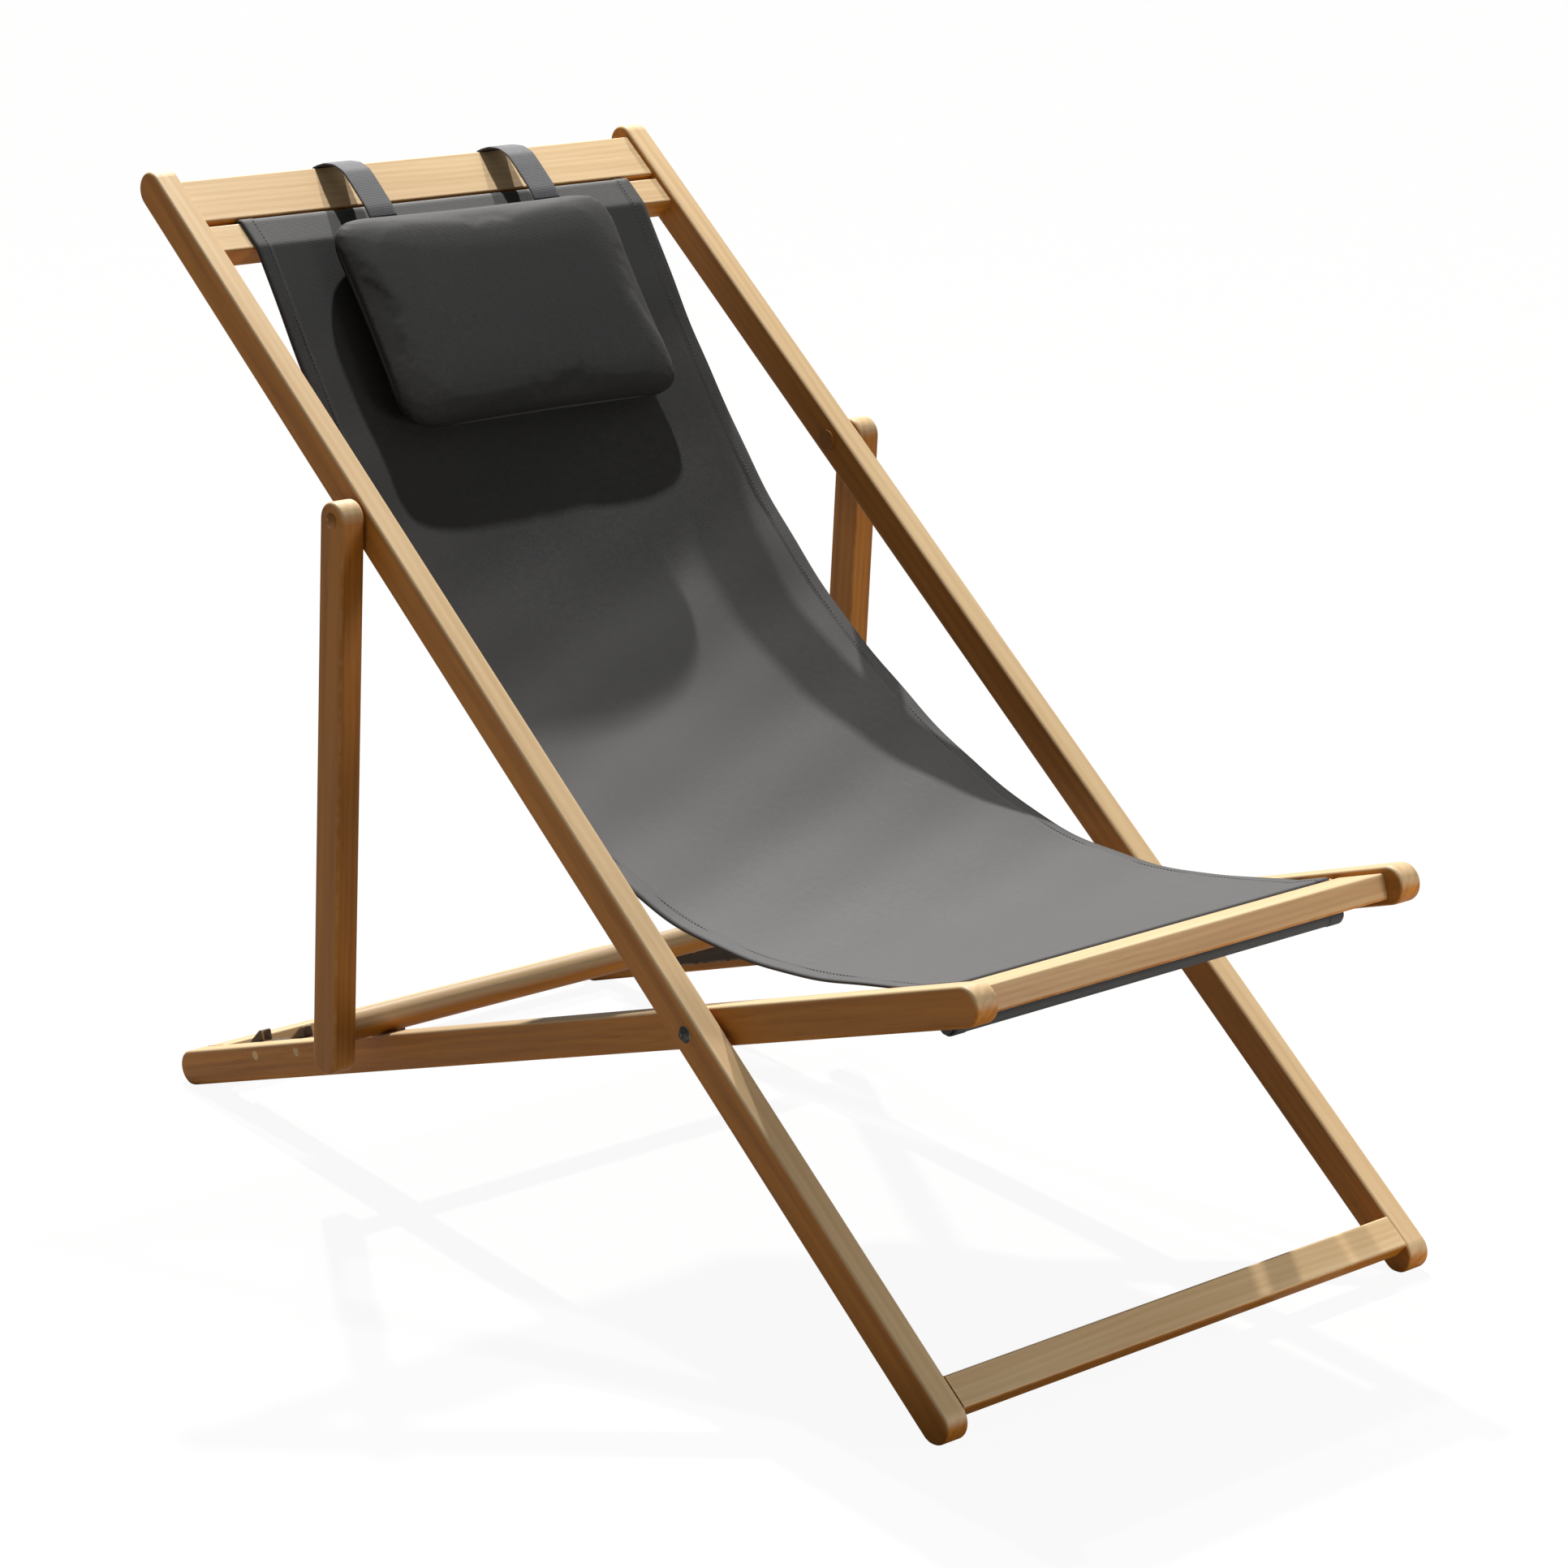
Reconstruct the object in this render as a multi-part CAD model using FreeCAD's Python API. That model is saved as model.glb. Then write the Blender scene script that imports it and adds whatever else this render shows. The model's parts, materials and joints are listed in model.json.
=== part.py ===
import FreeCAD, Part
import math
import os

# Folding deck chair: long back frame, seat frame hinged inside it, prop frame
# hinged outside it, a hanging fabric seat and a strapped head pillow.
# Millimetres. X is across the chair, the sitter faces -Y, Z is up, floor at 0.

V = FreeCAD.Vector

# ---- driving sizes -------------------------------------------------------
rail_t = 25.0             # thickness of every frame rail, across the chair
rail_d = 35.0             # depth of every frame rail
rail_soft = 3.0           # rounding along the rail edges
foot_flat = 1.0           # height planed off each rounded end that meets the floor

back_width = 600.0        # over the outside of the back frame
back_length = 1408.0      # between the end centres of a back rail
back_angle = 39.0         # lean of the back frame from the floor, degrees

seat_gap = 4.5            # side gap between back rails and seat rails
seat_length = 1161.0      # between the end centres of a seat rail
seat_pivot_up = 403.0     # pivot position along the back rail, from its foot centre
seat_pivot_rear = 839.0   # pivot position along the seat rail, from its rear centre

prop_gap = 3.0            # side gap between back rails and prop legs
prop_pivot_up = 995.0     # pivot position along the back rail, from its foot centre
prop_tail = 24.0          # prop leg beyond the crossbar, to its end centre
prop_bar_d = 28.0         # crossbar that drops into the notches
prop_tenon_d = 18.0
prop_tenon_l = 12.0

board_w = 54.0            # outer board at each end of the fabric
board_t = 23.5            # thickness of the boards and slot rails
slot_rail_w = 33.0        # inner rail beside each slot
slot_w = 5.5              # slot that the fabric passes through
board_end = 2.0           # end centre of the rail to the board's outer edge
board_soft = 2.5          # rounding of board edges
bar_w = 33.0              # plain bars at the foot and at the seat's rear end
bar_t = 18.0
bar_over = 2.0            # plain bars reach past the rail's end centre
tenon_l = 12.0            # tenons of every board and bar
tenon_inset = 5.0         # tenon shoulder all round
fit = 0.15                # clearance of a tenon in its mortise

tooth_h = 11.0            # notch teeth above the seat rail
tooth_base = 26.0         # length of a tooth along the rail
tooth_top = 5.0           # flat at the top of a tooth
tooth_first = 104.5       # first tooth's upright face from the rail's rear centre
tooth_pitch = 73.0
tooth_count = 4
rack_t = 10.0             # thickness of the toothed strip
rack_h = 26.0             # depth of the strip below the rail's top
rack_margin = 12.0        # strip beyond its first and last tooth
dowel_d = 8.0             # dowels that hold the strip
dowel_step = 18.0         # dowel in front of each tooth but the last
dowel_down = 10.0         # dowel centre below the rail's top

bolt_d = 8.0              # pivot bolts
bore_play = 0.15          # bore over bolt diameter
head_d = 15.0             # domed bolt heads
head_h = 4.0
washer_d = 22.0
washer_t = 1.6            # plain washer under the seat bolt's nut
nut_af = 13.0             # hexagon nut across flats
nut_h = 6.5
cap_nut_d = 20.0          # flat sleeve nut of the prop pivot
cap_nut_h = 2.5
sleeve_d = 11.0           # sleeve of that nut, inside the back rail
sleeve_l = 14.0
side_play = 0.25          # side play between faces that turn on each other

cloth_w = 474.0           # fabric seat
cloth_t = 2.4             # its thickness with the hems
cloth_gap = 0.4           # air between the fabric and the timber
cloth_bend = 3.5          # bend where it turns into a slot
sag_main = 191.0          # depth of its hang below the straight line
sag_skew = -17.0          # moves the deepest part towards the front
sag_third = 9.4           # straightens the upper back
sag_fourth = -3.2
hem_rod_d = 14.0          # rods inside the two hems
hem_rod_over = 3.0        # rod beyond the fabric at each side

pillow_w = 335.0
pillow_l = 222.0
pillow_t = 44.0
pillow_soft = 17.0        # rounding of the pillow's edges
pillow_gap = 0.6          # air between pillow and fabric
pillow_lift = 1.0         # its top edge stands this much higher
strap_w = 32.0
strap_t = 2.0
strap_x = 100.0           # straps either side of the middle
strap_gap = 0.5           # air between strap and board
strap_rise = 30.0         # how far the straps arch off the board's front
strap_back = 44.0         # strap length down the back of the board
stud_d = 13.0             # press stud that holds each strap
stud_h = 3.0
stud_pin_d = 5.0
stud_pin_l = 8.0

# ---- places that follow from the sizes -----------------------------------
rail_r = rail_d / 2.0
foot_z = rail_r - foot_flat
lean = math.radians(back_angle)
pivot_rise = seat_pivot_up * math.sin(lean)
seat_tilt = math.asin(pivot_rise / seat_pivot_rear)

x_back_out = back_width / 2.0
x_back_in = x_back_out - rail_t
x_seat_out = x_back_in - seat_gap
x_seat_in = x_seat_out - rail_t
x_prop_in = x_back_out + prop_gap
x_prop_out = x_prop_in + rail_t

# notch that holds the crossbar in the most upright position
bar_r = prop_bar_d / 2.0
notch_face = tooth_first + (tooth_count - 1) * tooth_pitch
rest_gap = 0.3
bar_stand = bar_r + rest_gap
notch_run = math.sqrt(bar_stand ** 2 - max(bar_stand - tooth_h, 0.0) ** 2)
notch_v = seat_pivot_rear - notch_face - notch_run
notch_off = rail_r + bar_stand


def turn(y, z, angle):
    """Rotate a side-view direction by an angle in radians."""
    return (y * math.cos(angle) - z * math.sin(angle),
            y * math.sin(angle) + z * math.cos(angle))


class Frame:
    """A side-view frame: u runs along the rails, w is square to them."""

    def __init__(self, y, z, angle):
        self.y = y
        self.z = z
        self.angle = angle

    def at(self, u, w):
        dy, dz = turn(u, w, self.angle)
        return (self.y + dy, self.z + dz)

    def place(self, shape):
        turned = FreeCAD.Rotation(V(1, 0, 0), math.degrees(self.angle))
        move = FreeCAD.Placement(V(0, self.y, self.z), turned)
        return moved(shape, move)


def moved(shape, placement):
    copy = shape.copy()
    copy.Placement = placement.multiply(copy.Placement)
    return copy


def chair_frames(shift):
    """Back, seat and prop frames with the chair moved along Y by shift."""
    back = Frame(shift, foot_z, lean)
    py, pz = back.at(seat_pivot_up, 0.0)
    seat = Frame(py, pz, -seat_tilt)
    qy, qz = back.at(prop_pivot_up, 0.0)
    by, bz = seat.at(notch_v, notch_off)
    reach = math.hypot(by - qy, bz - qz)
    prop = Frame(qy, qz, math.atan2(bz - qz, by - qy))
    return back, seat, prop, reach


back, seat, prop, prop_reach = chair_frames(0.0)
seat_front = seat_pivot_rear - seat_length
ends = [back.at(0, 0)[0], back.at(back_length, 0)[0],
        seat.at(seat_front, 0)[0], seat.at(seat_pivot_rear, 0)[0]]
back, seat, prop, prop_reach = chair_frames(-(min(ends) + max(ends)) / 2.0)

# boards, slots and inner rails along each frame
head_board_hi = back_length - board_end
head_board_lo = head_board_hi - board_w
head_slot = head_board_lo - slot_w / 2.0
head_rail_hi = head_board_lo - slot_w
head_rail_lo = head_rail_hi - slot_rail_w
front_board_out = seat_front + board_end
front_board_in = front_board_out + board_w
front_slot = front_board_in + slot_w / 2.0
front_rail_out = front_board_in + slot_w
front_rail_in = front_rail_out + slot_rail_w
cloth_w0 = board_t / 2.0 + cloth_gap + cloth_t / 2.0
rod_w = -(board_t / 2.0 + cloth_gap + hem_rod_d / 2.0)


# ---- shape helpers -------------------------------------------------------
def box(x0, x1, y0, y1, z0, z1):
    return Part.makeBox(x1 - x0, y1 - y0, z1 - z0, V(x0, y0, z0))


def rod(x0, x1, y, z, d):
    return Part.makeCylinder(d / 2.0, x1 - x0, V(x0, y, z), V(1, 0, 0))


def soften(shape, radius, keep=None):
    """Round the edges of a shape, or only those that keep() accepts."""
    edges = [e for e in shape.Edges if keep is None or keep(e)]
    return shape.makeFillet(radius, edges)


def side_face(points, x):
    ring = [V(x, p[0], p[1]) for p in points]
    return Part.Face(Part.makePolygon(ring + ring[:1]))


def side_prism(points, x0, x1):
    return side_face(points, x0).extrude(V(x1 - x0, 0, 0))


def stadium(x0, x1, u0, u1):
    """A rail with round ends, centred on its own line, edges softened."""
    r = rail_r
    a = [V(x0, u0, -r), V(x0, u0 - r, 0), V(x0, u0, r)]
    b = [V(x0, u1, r), V(x0, u1 + r, 0), V(x0, u1, -r)]
    wire = Part.Wire([Part.Arc(*a).toShape(), Part.makeLine(a[2], b[0]),
                      Part.Arc(*b).toShape(), Part.makeLine(b[2], a[0])])
    rail = Part.Face(wire).extrude(V(x1 - x0, 0, 0))
    rims = lambda e: e.BoundBox.XLength < 0.01
    return soften(rail, rail_soft, rims)


def both(x0, x1):
    """The same span on the left (-X) and right (+X) side."""
    return {"left": (-x1, -x0), "right": (x0, x1)}


def cross_piece(x_in, u0, u1, w0, w1):
    """A board between two rails with a tenon at each end."""
    body = box(-x_in, x_in, u0, u1, w0, w1)
    long_edges = lambda e: e.BoundBox.XLength > x_in
    body = soften(body, min(board_soft, (w1 - w0) / 4.0), long_edges)
    i = tenon_inset
    tenon = box(-x_in - tenon_l, x_in + tenon_l, u0 + i, u1 - i, w0 + i, w1 - i)
    return body.fuse(tenon).removeSplitter()


def mortises(x_in, u0, u1, w0, w1):
    i = tenon_inset - fit
    reach = x_in + tenon_l + fit
    return box(-reach, reach, u0 + i, u1 - i, w0 + i, w1 - i)


def ribbon(points, thick):
    """Closed side-view outline of a band that follows a line of points."""
    upper = []
    lower = []
    for i, p in enumerate(points):
        a = points[max(i - 1, 0)]
        b = points[min(i + 1, len(points) - 1)]
        dy = b[0] - a[0]
        dz = b[1] - a[1]
        n = math.hypot(dy, dz)
        ny = -dz / n * thick / 2.0
        nz = dy / n * thick / 2.0
        upper.append((p[0] + ny, p[1] + nz))
        lower.append((p[0] - ny, p[1] - nz))
    return upper + lower[::-1]


def corner(cy, cz, r, a0, a1, count):
    """Points of an arc, angles in degrees."""
    steps = [a0 + (a1 - a0) * k / count for k in range(count + 1)]
    return [(cy + r * math.cos(math.radians(a)), cz + r * math.sin(math.radians(a)))
            for a in steps]


nodes = {}

# ---- frame timber --------------------------------------------------------
bore_d = bolt_d + bore_play
foot_lo = -bar_over
foot_hi = foot_lo + bar_w
bar_w0 = rail_r - bar_t
floor_cut = box(-x_prop_out - 50, x_prop_out + 50, -3000, 3000, -200, 0)

back_cuts = [mortises(x_back_in, head_board_lo, head_board_hi, -board_t / 2, board_t / 2),
             mortises(x_back_in, head_rail_lo, head_rail_hi, -board_t / 2, board_t / 2),
             mortises(x_back_in, foot_lo, foot_hi, bar_w0, rail_r),
             rod(-x_back_out - 1, x_back_out + 1, seat_pivot_up, 0, bore_d),
             rod(-x_back_out - 1, x_back_out + 1, prop_pivot_up, 0, bore_d)]
for span in both(x_back_in - 1, x_back_in + sleeve_l + fit).values():
    back_cuts.append(rod(span[0], span[1], prop_pivot_up, 0, sleeve_d + 2 * fit))
for side, span in both(x_back_in, x_back_out).items():
    rail = stadium(span[0], span[1], 0, back_length)
    rail = back.place(rail.cut(back_cuts))
    nodes["back_rail_" + side] = rail.cut(floor_cut)

head_span = (-board_t / 2, board_t / 2)
nodes["head_board"] = back.place(
    cross_piece(x_back_in, head_board_lo, head_board_hi, *head_span))
nodes["head_rail"] = back.place(
    cross_piece(x_back_in, head_rail_lo, head_rail_hi, *head_span))
nodes["foot_bar"] = back.place(
    cross_piece(x_back_in, foot_lo, foot_hi, bar_w0, rail_r))

rear_hi = seat_pivot_rear + bar_over
rear_lo = rear_hi - bar_w
tooth_faces = [seat_pivot_rear - tooth_first - k * tooth_pitch for k in range(tooth_count)]
dowel_us = [face - dowel_step for face in tooth_faces[:-1]]
dowel_w = rail_r - dowel_down

seat_cuts = [mortises(x_seat_in, front_board_out, front_board_in, -board_t / 2, board_t / 2),
             mortises(x_seat_in, front_rail_out, front_rail_in, -board_t / 2, board_t / 2),
             mortises(x_seat_in, rear_lo, rear_hi, bar_w0, rail_r),
             rod(-x_seat_out - 1, x_seat_out + 1, 0, 0, bore_d)]
for u in dowel_us:
    seat_cuts.append(rod(-x_seat_out - 1, x_seat_out + 1, u, dowel_w, dowel_d + fit))
for side, span in both(x_seat_in, x_seat_out).items():
    rail = stadium(span[0], span[1], seat_front, seat_pivot_rear)
    rail = seat.place(rail.cut(seat_cuts))
    nodes["seat_rail_" + side] = rail.cut(floor_cut)

nodes["front_board"] = seat.place(
    cross_piece(x_seat_in, front_board_out, front_board_in, *head_span))
nodes["front_rail"] = seat.place(
    cross_piece(x_seat_in, front_rail_out, front_rail_in, *head_span))
nodes["rear_bar"] = seat.place(
    cross_piece(x_seat_in, rear_lo, rear_hi, bar_w0, rail_r))

leg_end = prop_reach + prop_tail
tenon_reach = x_prop_in + prop_tenon_l
prop_cuts = [rod(-x_prop_out - 1, x_prop_out + 1, 0, 0, bore_d),
             rod(-tenon_reach - fit, tenon_reach + fit, prop_reach, 0, prop_tenon_d + fit)]
for side, span in both(x_prop_in, x_prop_out).items():
    leg = stadium(span[0], span[1], 0, leg_end)
    nodes["prop_leg_" + side] = prop.place(leg.cut(prop_cuts))
bar = rod(-x_prop_in, x_prop_in, prop_reach, 0, prop_bar_d)
bar = bar.fuse(rod(-tenon_reach, tenon_reach, prop_reach, 0, prop_tenon_d))
nodes["prop_bar"] = prop.place(bar.removeSplitter())

# ---- notch racks and their dowels ----------------------------------------
rack_top = rail_r
rack_lo = tooth_faces[-1] - rack_margin
rack_hi = tooth_faces[0] + tooth_base + rack_margin
outline = [(rack_lo, rack_top - rack_h), (rack_lo, rack_top)]
for face in reversed(tooth_faces):
    outline.append((face, rack_top))
    outline.append((face, rack_top + tooth_h))
    outline.append((face + tooth_top, rack_top + tooth_h))
    outline.append((face + tooth_base, rack_top))
outline.append((rack_hi, rack_top))
outline.append((rack_hi, rack_top - rack_h))
x_rack_in = x_seat_in - rack_t
for side, span in both(x_rack_in, x_seat_in).items():
    rack = side_prism(outline, span[0], span[1])
    crown = lambda e: e.BoundBox.ZMin > rack_top + tooth_h - 0.1 and e.BoundBox.XLength > 1
    rack = soften(rack, min(1.8, tooth_top / 2.5), crown)
    for u in dowel_us:
        rack = rack.cut(rod(-x_seat_out, x_seat_out, u, dowel_w, dowel_d + fit))
    nodes["rack_" + side] = seat.place(rack)
for side, span in both(x_rack_in, x_seat_out).items():
    for k, u in enumerate(dowel_us):
        peg = rod(span[0], span[1], u, dowel_w, dowel_d)
        nodes["rack_dowel_%s_%d" % (side, k + 1)] = seat.place(peg)


# ---- pivots --------------------------------------------------------------
def dome(x, u, w, d, h, way):
    """A domed head on the plane X = x, bulging towards way (-1 or +1)."""
    ball = (d * d / 4.0 + h * h) / (2.0 * h)
    sphere = Part.makeSphere(ball, V(x + way * (h - ball), u, w))
    lo, hi = sorted((x, x + way * (h + 1)))
    return sphere.common(box(lo, hi, u - d, u + d, w - d, w + d))


def ring(x0, x1, u, w, d, bore):
    return rod(x0, x1, u, w, d).cut(rod(x0 - 1, x1 + 1, u, w, bore))


def hexagon(x0, x1, u, w, af, bore):
    r = af / math.sqrt(3.0)
    pts = [(u + r * math.cos(math.radians(60 * k)), w + r * math.sin(math.radians(60 * k)))
           for k in range(6)]
    return side_prism(pts, x0, x1).cut(rod(x0 - 1, x1 + 1, u, w, bore))


def mirror_pair(name, shape, frame):
    """Keep a shape made for the right side and its mirror on the left."""
    nodes[name + "_right"] = frame.place(shape)
    nodes[name + "_left"] = frame.place(shape.mirror(V(0, 0, 0), V(1, 0, 0)))


spacer = seat_gap - side_play
seat_shank_end = x_seat_in - side_play - washer_t - nut_h - 1.0
seat_bolt = rod(seat_shank_end, x_back_out, seat_pivot_up, 0, bolt_d)
seat_bolt = seat_bolt.fuse(dome(x_back_out, seat_pivot_up, 0, head_d, head_h, 1))
mirror_pair("seat_pivot_bolt", seat_bolt, back)
mirror_pair("seat_pivot_spacer",
            ring(x_back_in - spacer, x_back_in, seat_pivot_up, 0, washer_d, bore_d), back)
nut_face = x_seat_in - side_play - washer_t
mirror_pair("seat_pivot_washer",
            ring(nut_face, nut_face + washer_t, seat_pivot_up, 0, washer_d, bore_d), back)
mirror_pair("seat_pivot_nut",
            hexagon(nut_face - nut_h, nut_face, seat_pivot_up, 0, nut_af, bore_d), back)

head_face = x_prop_out + side_play
shank_end = x_back_in + sleeve_l - 8.0
prop_bolt = rod(shank_end, head_face, prop_pivot_up, 0, bolt_d)
prop_bolt = prop_bolt.fuse(dome(head_face, prop_pivot_up, 0, head_d, head_h, 1))
mirror_pair("prop_pivot_bolt", prop_bolt, back)
mirror_pair("prop_pivot_spacer",
            ring(x_back_out, x_prop_in - side_play, prop_pivot_up, 0, washer_d, bore_d), back)
cap = rod(x_back_in - cap_nut_h, x_back_in, prop_pivot_up, 0, cap_nut_d)
cap = cap.fuse(rod(x_back_in, x_back_in + sleeve_l, prop_pivot_up, 0, sleeve_d))
cap = cap.cut(rod(shank_end - 1.0, x_back_out, prop_pivot_up, 0, bore_d))
mirror_pair("prop_pivot_nut", cap, back)

# ---- fabric seat and its hem rods ----------------------------------------
rod_half = cloth_w / 2.0 + hem_rod_over
nodes["head_hem_rod"] = back.place(rod(-rod_half, rod_half, head_slot, rod_w, hem_rod_d))
nodes["front_hem_rod"] = seat.place(rod(-rod_half, rod_half, front_slot, rod_w, hem_rod_d))

bend = cloth_bend
tongue = rod_w + hem_rod_d / 2.0 + cloth_gap
head_part = [back.at(head_slot, tongue), back.at(head_slot, 0.0)]
head_part += [back.at(u, w) for u, w in
              corner(head_slot - bend, cloth_w0 - bend, bend, 0, 90, 5)]
head_part += [back.at(head_rail_lo + 8.0, cloth_w0)]
front_part = [seat.at(front_rail_in - 8.0, cloth_w0)]
front_part += [seat.at(u, w) for u, w in
               corner(front_slot + bend, cloth_w0 - bend, bend, 90, 180, 5)]
front_part += [seat.at(front_slot, 0.0), seat.at(front_slot, tongue)]

hang_from = back.at(head_rail_lo, cloth_w0)
hang_to = seat.at(front_rail_in, cloth_w0)
chord_y = hang_to[0] - hang_from[0]
chord_z = hang_to[1] - hang_from[1]
chord = math.hypot(chord_y, chord_z)
drop_y = chord_z / chord
drop_z = -chord_y / chord
if drop_z > 0:
    drop_y, drop_z = -drop_y, -drop_z


def hang(t):
    """Point of the hanging fabric at a share t of the straight line."""
    sags = (sag_main, sag_skew, sag_third, sag_fourth)
    depth = sum(s * math.sin((k + 1) * math.pi * t) for k, s in enumerate(sags))
    return (hang_from[0] + chord_y * t + drop_y * depth,
            hang_from[1] + chord_z * t + drop_z * depth)


hang_steps = 40
hang_part = [hang(k / hang_steps) for k in range(hang_steps + 1)]
cloth_line = head_part + hang_part + front_part
nodes["sling"] = side_prism(ribbon(cloth_line, cloth_t), -cloth_w / 2.0, cloth_w / 2.0)

# ---- pillow, straps and studs --------------------------------------------
# the pillow's back lies on the fabric just below the inner head rail, tilted
# so that no part of the fabric behind its flat back comes closer than the gap
pillow_top_u = head_rail_lo + 5.0
seat_line = [hang(k / 400.0) for k in range(401)]
seat_line = [turn(p[0] - back.y, p[1] - back.z, -lean) for p in seat_line]
near = cloth_t / 2.0 + pillow_gap
base_w = cloth_w0 + near + pillow_lift
slope = -1.0
for u, w in seat_line:
    run = pillow_top_u - u
    if pillow_soft < run < pillow_l - pillow_soft:
        slope = max(slope, (w + near - base_w) / run)
pillow_tilt = math.atan(slope)
top_y, top_z = back.at(pillow_top_u, base_w)
pillow_frame = Frame(top_y, top_z, lean - pillow_tilt)
pad = box(-pillow_w / 2, pillow_w / 2, -pillow_l, 0, 0, pillow_t)
nodes["pillow"] = pillow_frame.place(soften(pad, pillow_soft))

seam_y, seam_z = pillow_frame.at(0.0, pillow_t / 2.0)
seam_u, seam_w = turn(seam_y - back.y, seam_z - back.z, -lean)
s_half = strap_t / 2.0
face_w = board_t / 2.0 + strap_gap + s_half
edge_u = head_board_hi + strap_gap + s_half
arch = face_w + strap_rise
wrap = 4.0
strap_line = [(seam_u + 0.6, seam_w), (seam_u + 16.0, seam_w + 0.12 * strap_rise),
              (head_board_lo + 0.35 * board_w, face_w + 0.93 * strap_rise),
              (head_board_lo + 0.62 * board_w, face_w + 0.74 * strap_rise),
              (head_board_lo + 0.82 * board_w, face_w + 0.46 * strap_rise),
              (head_board_hi - 1.0, face_w + 0.14 * strap_rise)]
strap_line += corner(edge_u - wrap, face_w - wrap, wrap, 45, 0, 2)
strap_line += corner(edge_u - wrap, -face_w + wrap, wrap, 0, -90, 4)
strap_line += [(head_board_hi - strap_back, -face_w)]
strap_band = ribbon(strap_line, strap_t)
stud_u = head_board_hi - strap_back + 9.0
for side, x in (("left", -strap_x), ("right", strap_x)):
    band = side_prism(strap_band, x - strap_w / 2.0, x + strap_w / 2.0)
    hole = Part.makeCylinder(stud_pin_d / 2.0 + fit, 3 * board_t,
                             V(x, stud_u, -2 * board_t), V(0, 0, 1))
    nodes["strap_" + side] = back.place(band.cut(hole))
    stud = Part.makeCylinder(stud_d / 2.0, stud_h, V(x, stud_u, -face_w - s_half - stud_h))
    stud = soften(stud, stud_h / 3.0, lambda e: e.BoundBox.ZMax < -face_w - s_half - 0.1
                  and e.BoundBox.XLength > stud_d / 2)
    pin_lo = -face_w - s_half
    pin = Part.makeCylinder(stud_pin_d / 2.0, stud_pin_l, V(x, stud_u, pin_lo))
    nodes["strap_stud_" + side] = back.place(stud.fuse(pin).removeSplitter())
    drill = Part.makeCylinder((stud_pin_d + fit) / 2.0, stud_pin_l + 0.2, V(x, stud_u, pin_lo))
    nodes["head_board"] = nodes["head_board"].cut(back.place(drill))

# ---- write every piece ---------------------------------------------------
os.makedirs("parts", exist_ok=True)
for name in sorted(nodes):
    shape = nodes[name]
    solids = shape.Solids
    if len(solids) != 1 or not solids[0].isValid():
        print("check", name, len(solids), [s.isValid() for s in solids])
    solids[0].exportStep("parts/%s.step" % name)
box_all = Part.makeCompound(list(nodes.values())).optimalBoundingBox()
print(len(nodes), "pieces")
print("size", round(box_all.XLength, 1), round(box_all.YLength, 1), round(box_all.ZLength, 1))
print("y", round(box_all.YMin, 2), round(box_all.YMax, 2), "z", round(box_all.ZMin, 3))
print("seat tilt", round(math.degrees(seat_tilt), 3), "prop reach", round(prop_reach, 2))
print("seat pivot", [round(c, 3) for c in back.at(seat_pivot_up, 0)])
print("prop pivot", [round(c, 3) for c in back.at(prop_pivot_up, 0)])
print("prop angle", round(math.degrees(prop.angle), 3), "fold", round(back_angle
      + math.degrees(seat_tilt), 3), "prop fold", round(back_angle
      - math.degrees(prop.angle), 3))
print("pillow tilt", round(math.degrees(pillow_tilt), 3), "seam",
      [round(c, 3) for c in pillow_frame.at(0.0, pillow_t / 2.0)])
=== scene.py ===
"""Looks of a folding deck chair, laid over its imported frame.

Metres. X runs across the chair, the sitter faces -Y, Z is up and the floor is at 0.
"""
import json
import logging
import math
from dataclasses import dataclass
from enum import Enum

import bmesh
import bpy
import numpy as np
from mathutils import Matrix, Vector


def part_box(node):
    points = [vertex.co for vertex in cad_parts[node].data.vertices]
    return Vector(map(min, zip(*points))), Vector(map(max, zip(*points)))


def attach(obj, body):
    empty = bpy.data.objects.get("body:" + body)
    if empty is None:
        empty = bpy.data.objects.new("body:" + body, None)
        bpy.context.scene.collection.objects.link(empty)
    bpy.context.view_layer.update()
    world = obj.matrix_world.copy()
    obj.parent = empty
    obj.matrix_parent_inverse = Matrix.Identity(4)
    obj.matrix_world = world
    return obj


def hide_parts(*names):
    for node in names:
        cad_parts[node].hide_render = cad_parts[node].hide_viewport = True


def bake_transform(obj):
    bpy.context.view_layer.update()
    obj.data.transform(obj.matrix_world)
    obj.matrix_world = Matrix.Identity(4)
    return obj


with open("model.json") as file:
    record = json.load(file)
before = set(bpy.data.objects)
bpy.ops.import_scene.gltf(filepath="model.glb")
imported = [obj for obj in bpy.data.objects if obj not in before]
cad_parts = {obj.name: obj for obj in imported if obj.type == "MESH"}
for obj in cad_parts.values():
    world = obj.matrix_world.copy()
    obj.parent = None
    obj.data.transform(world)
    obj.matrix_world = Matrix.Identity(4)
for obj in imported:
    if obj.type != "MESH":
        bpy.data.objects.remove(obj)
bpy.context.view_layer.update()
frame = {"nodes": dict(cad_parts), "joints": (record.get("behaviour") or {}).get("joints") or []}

LOG = logging.getLogger("deck_chair")
SIDES = ("left", "right")
RAIL_END_RADIUS = 0.0175
RAIL_END_HEIGHT = 0.0165


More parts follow.
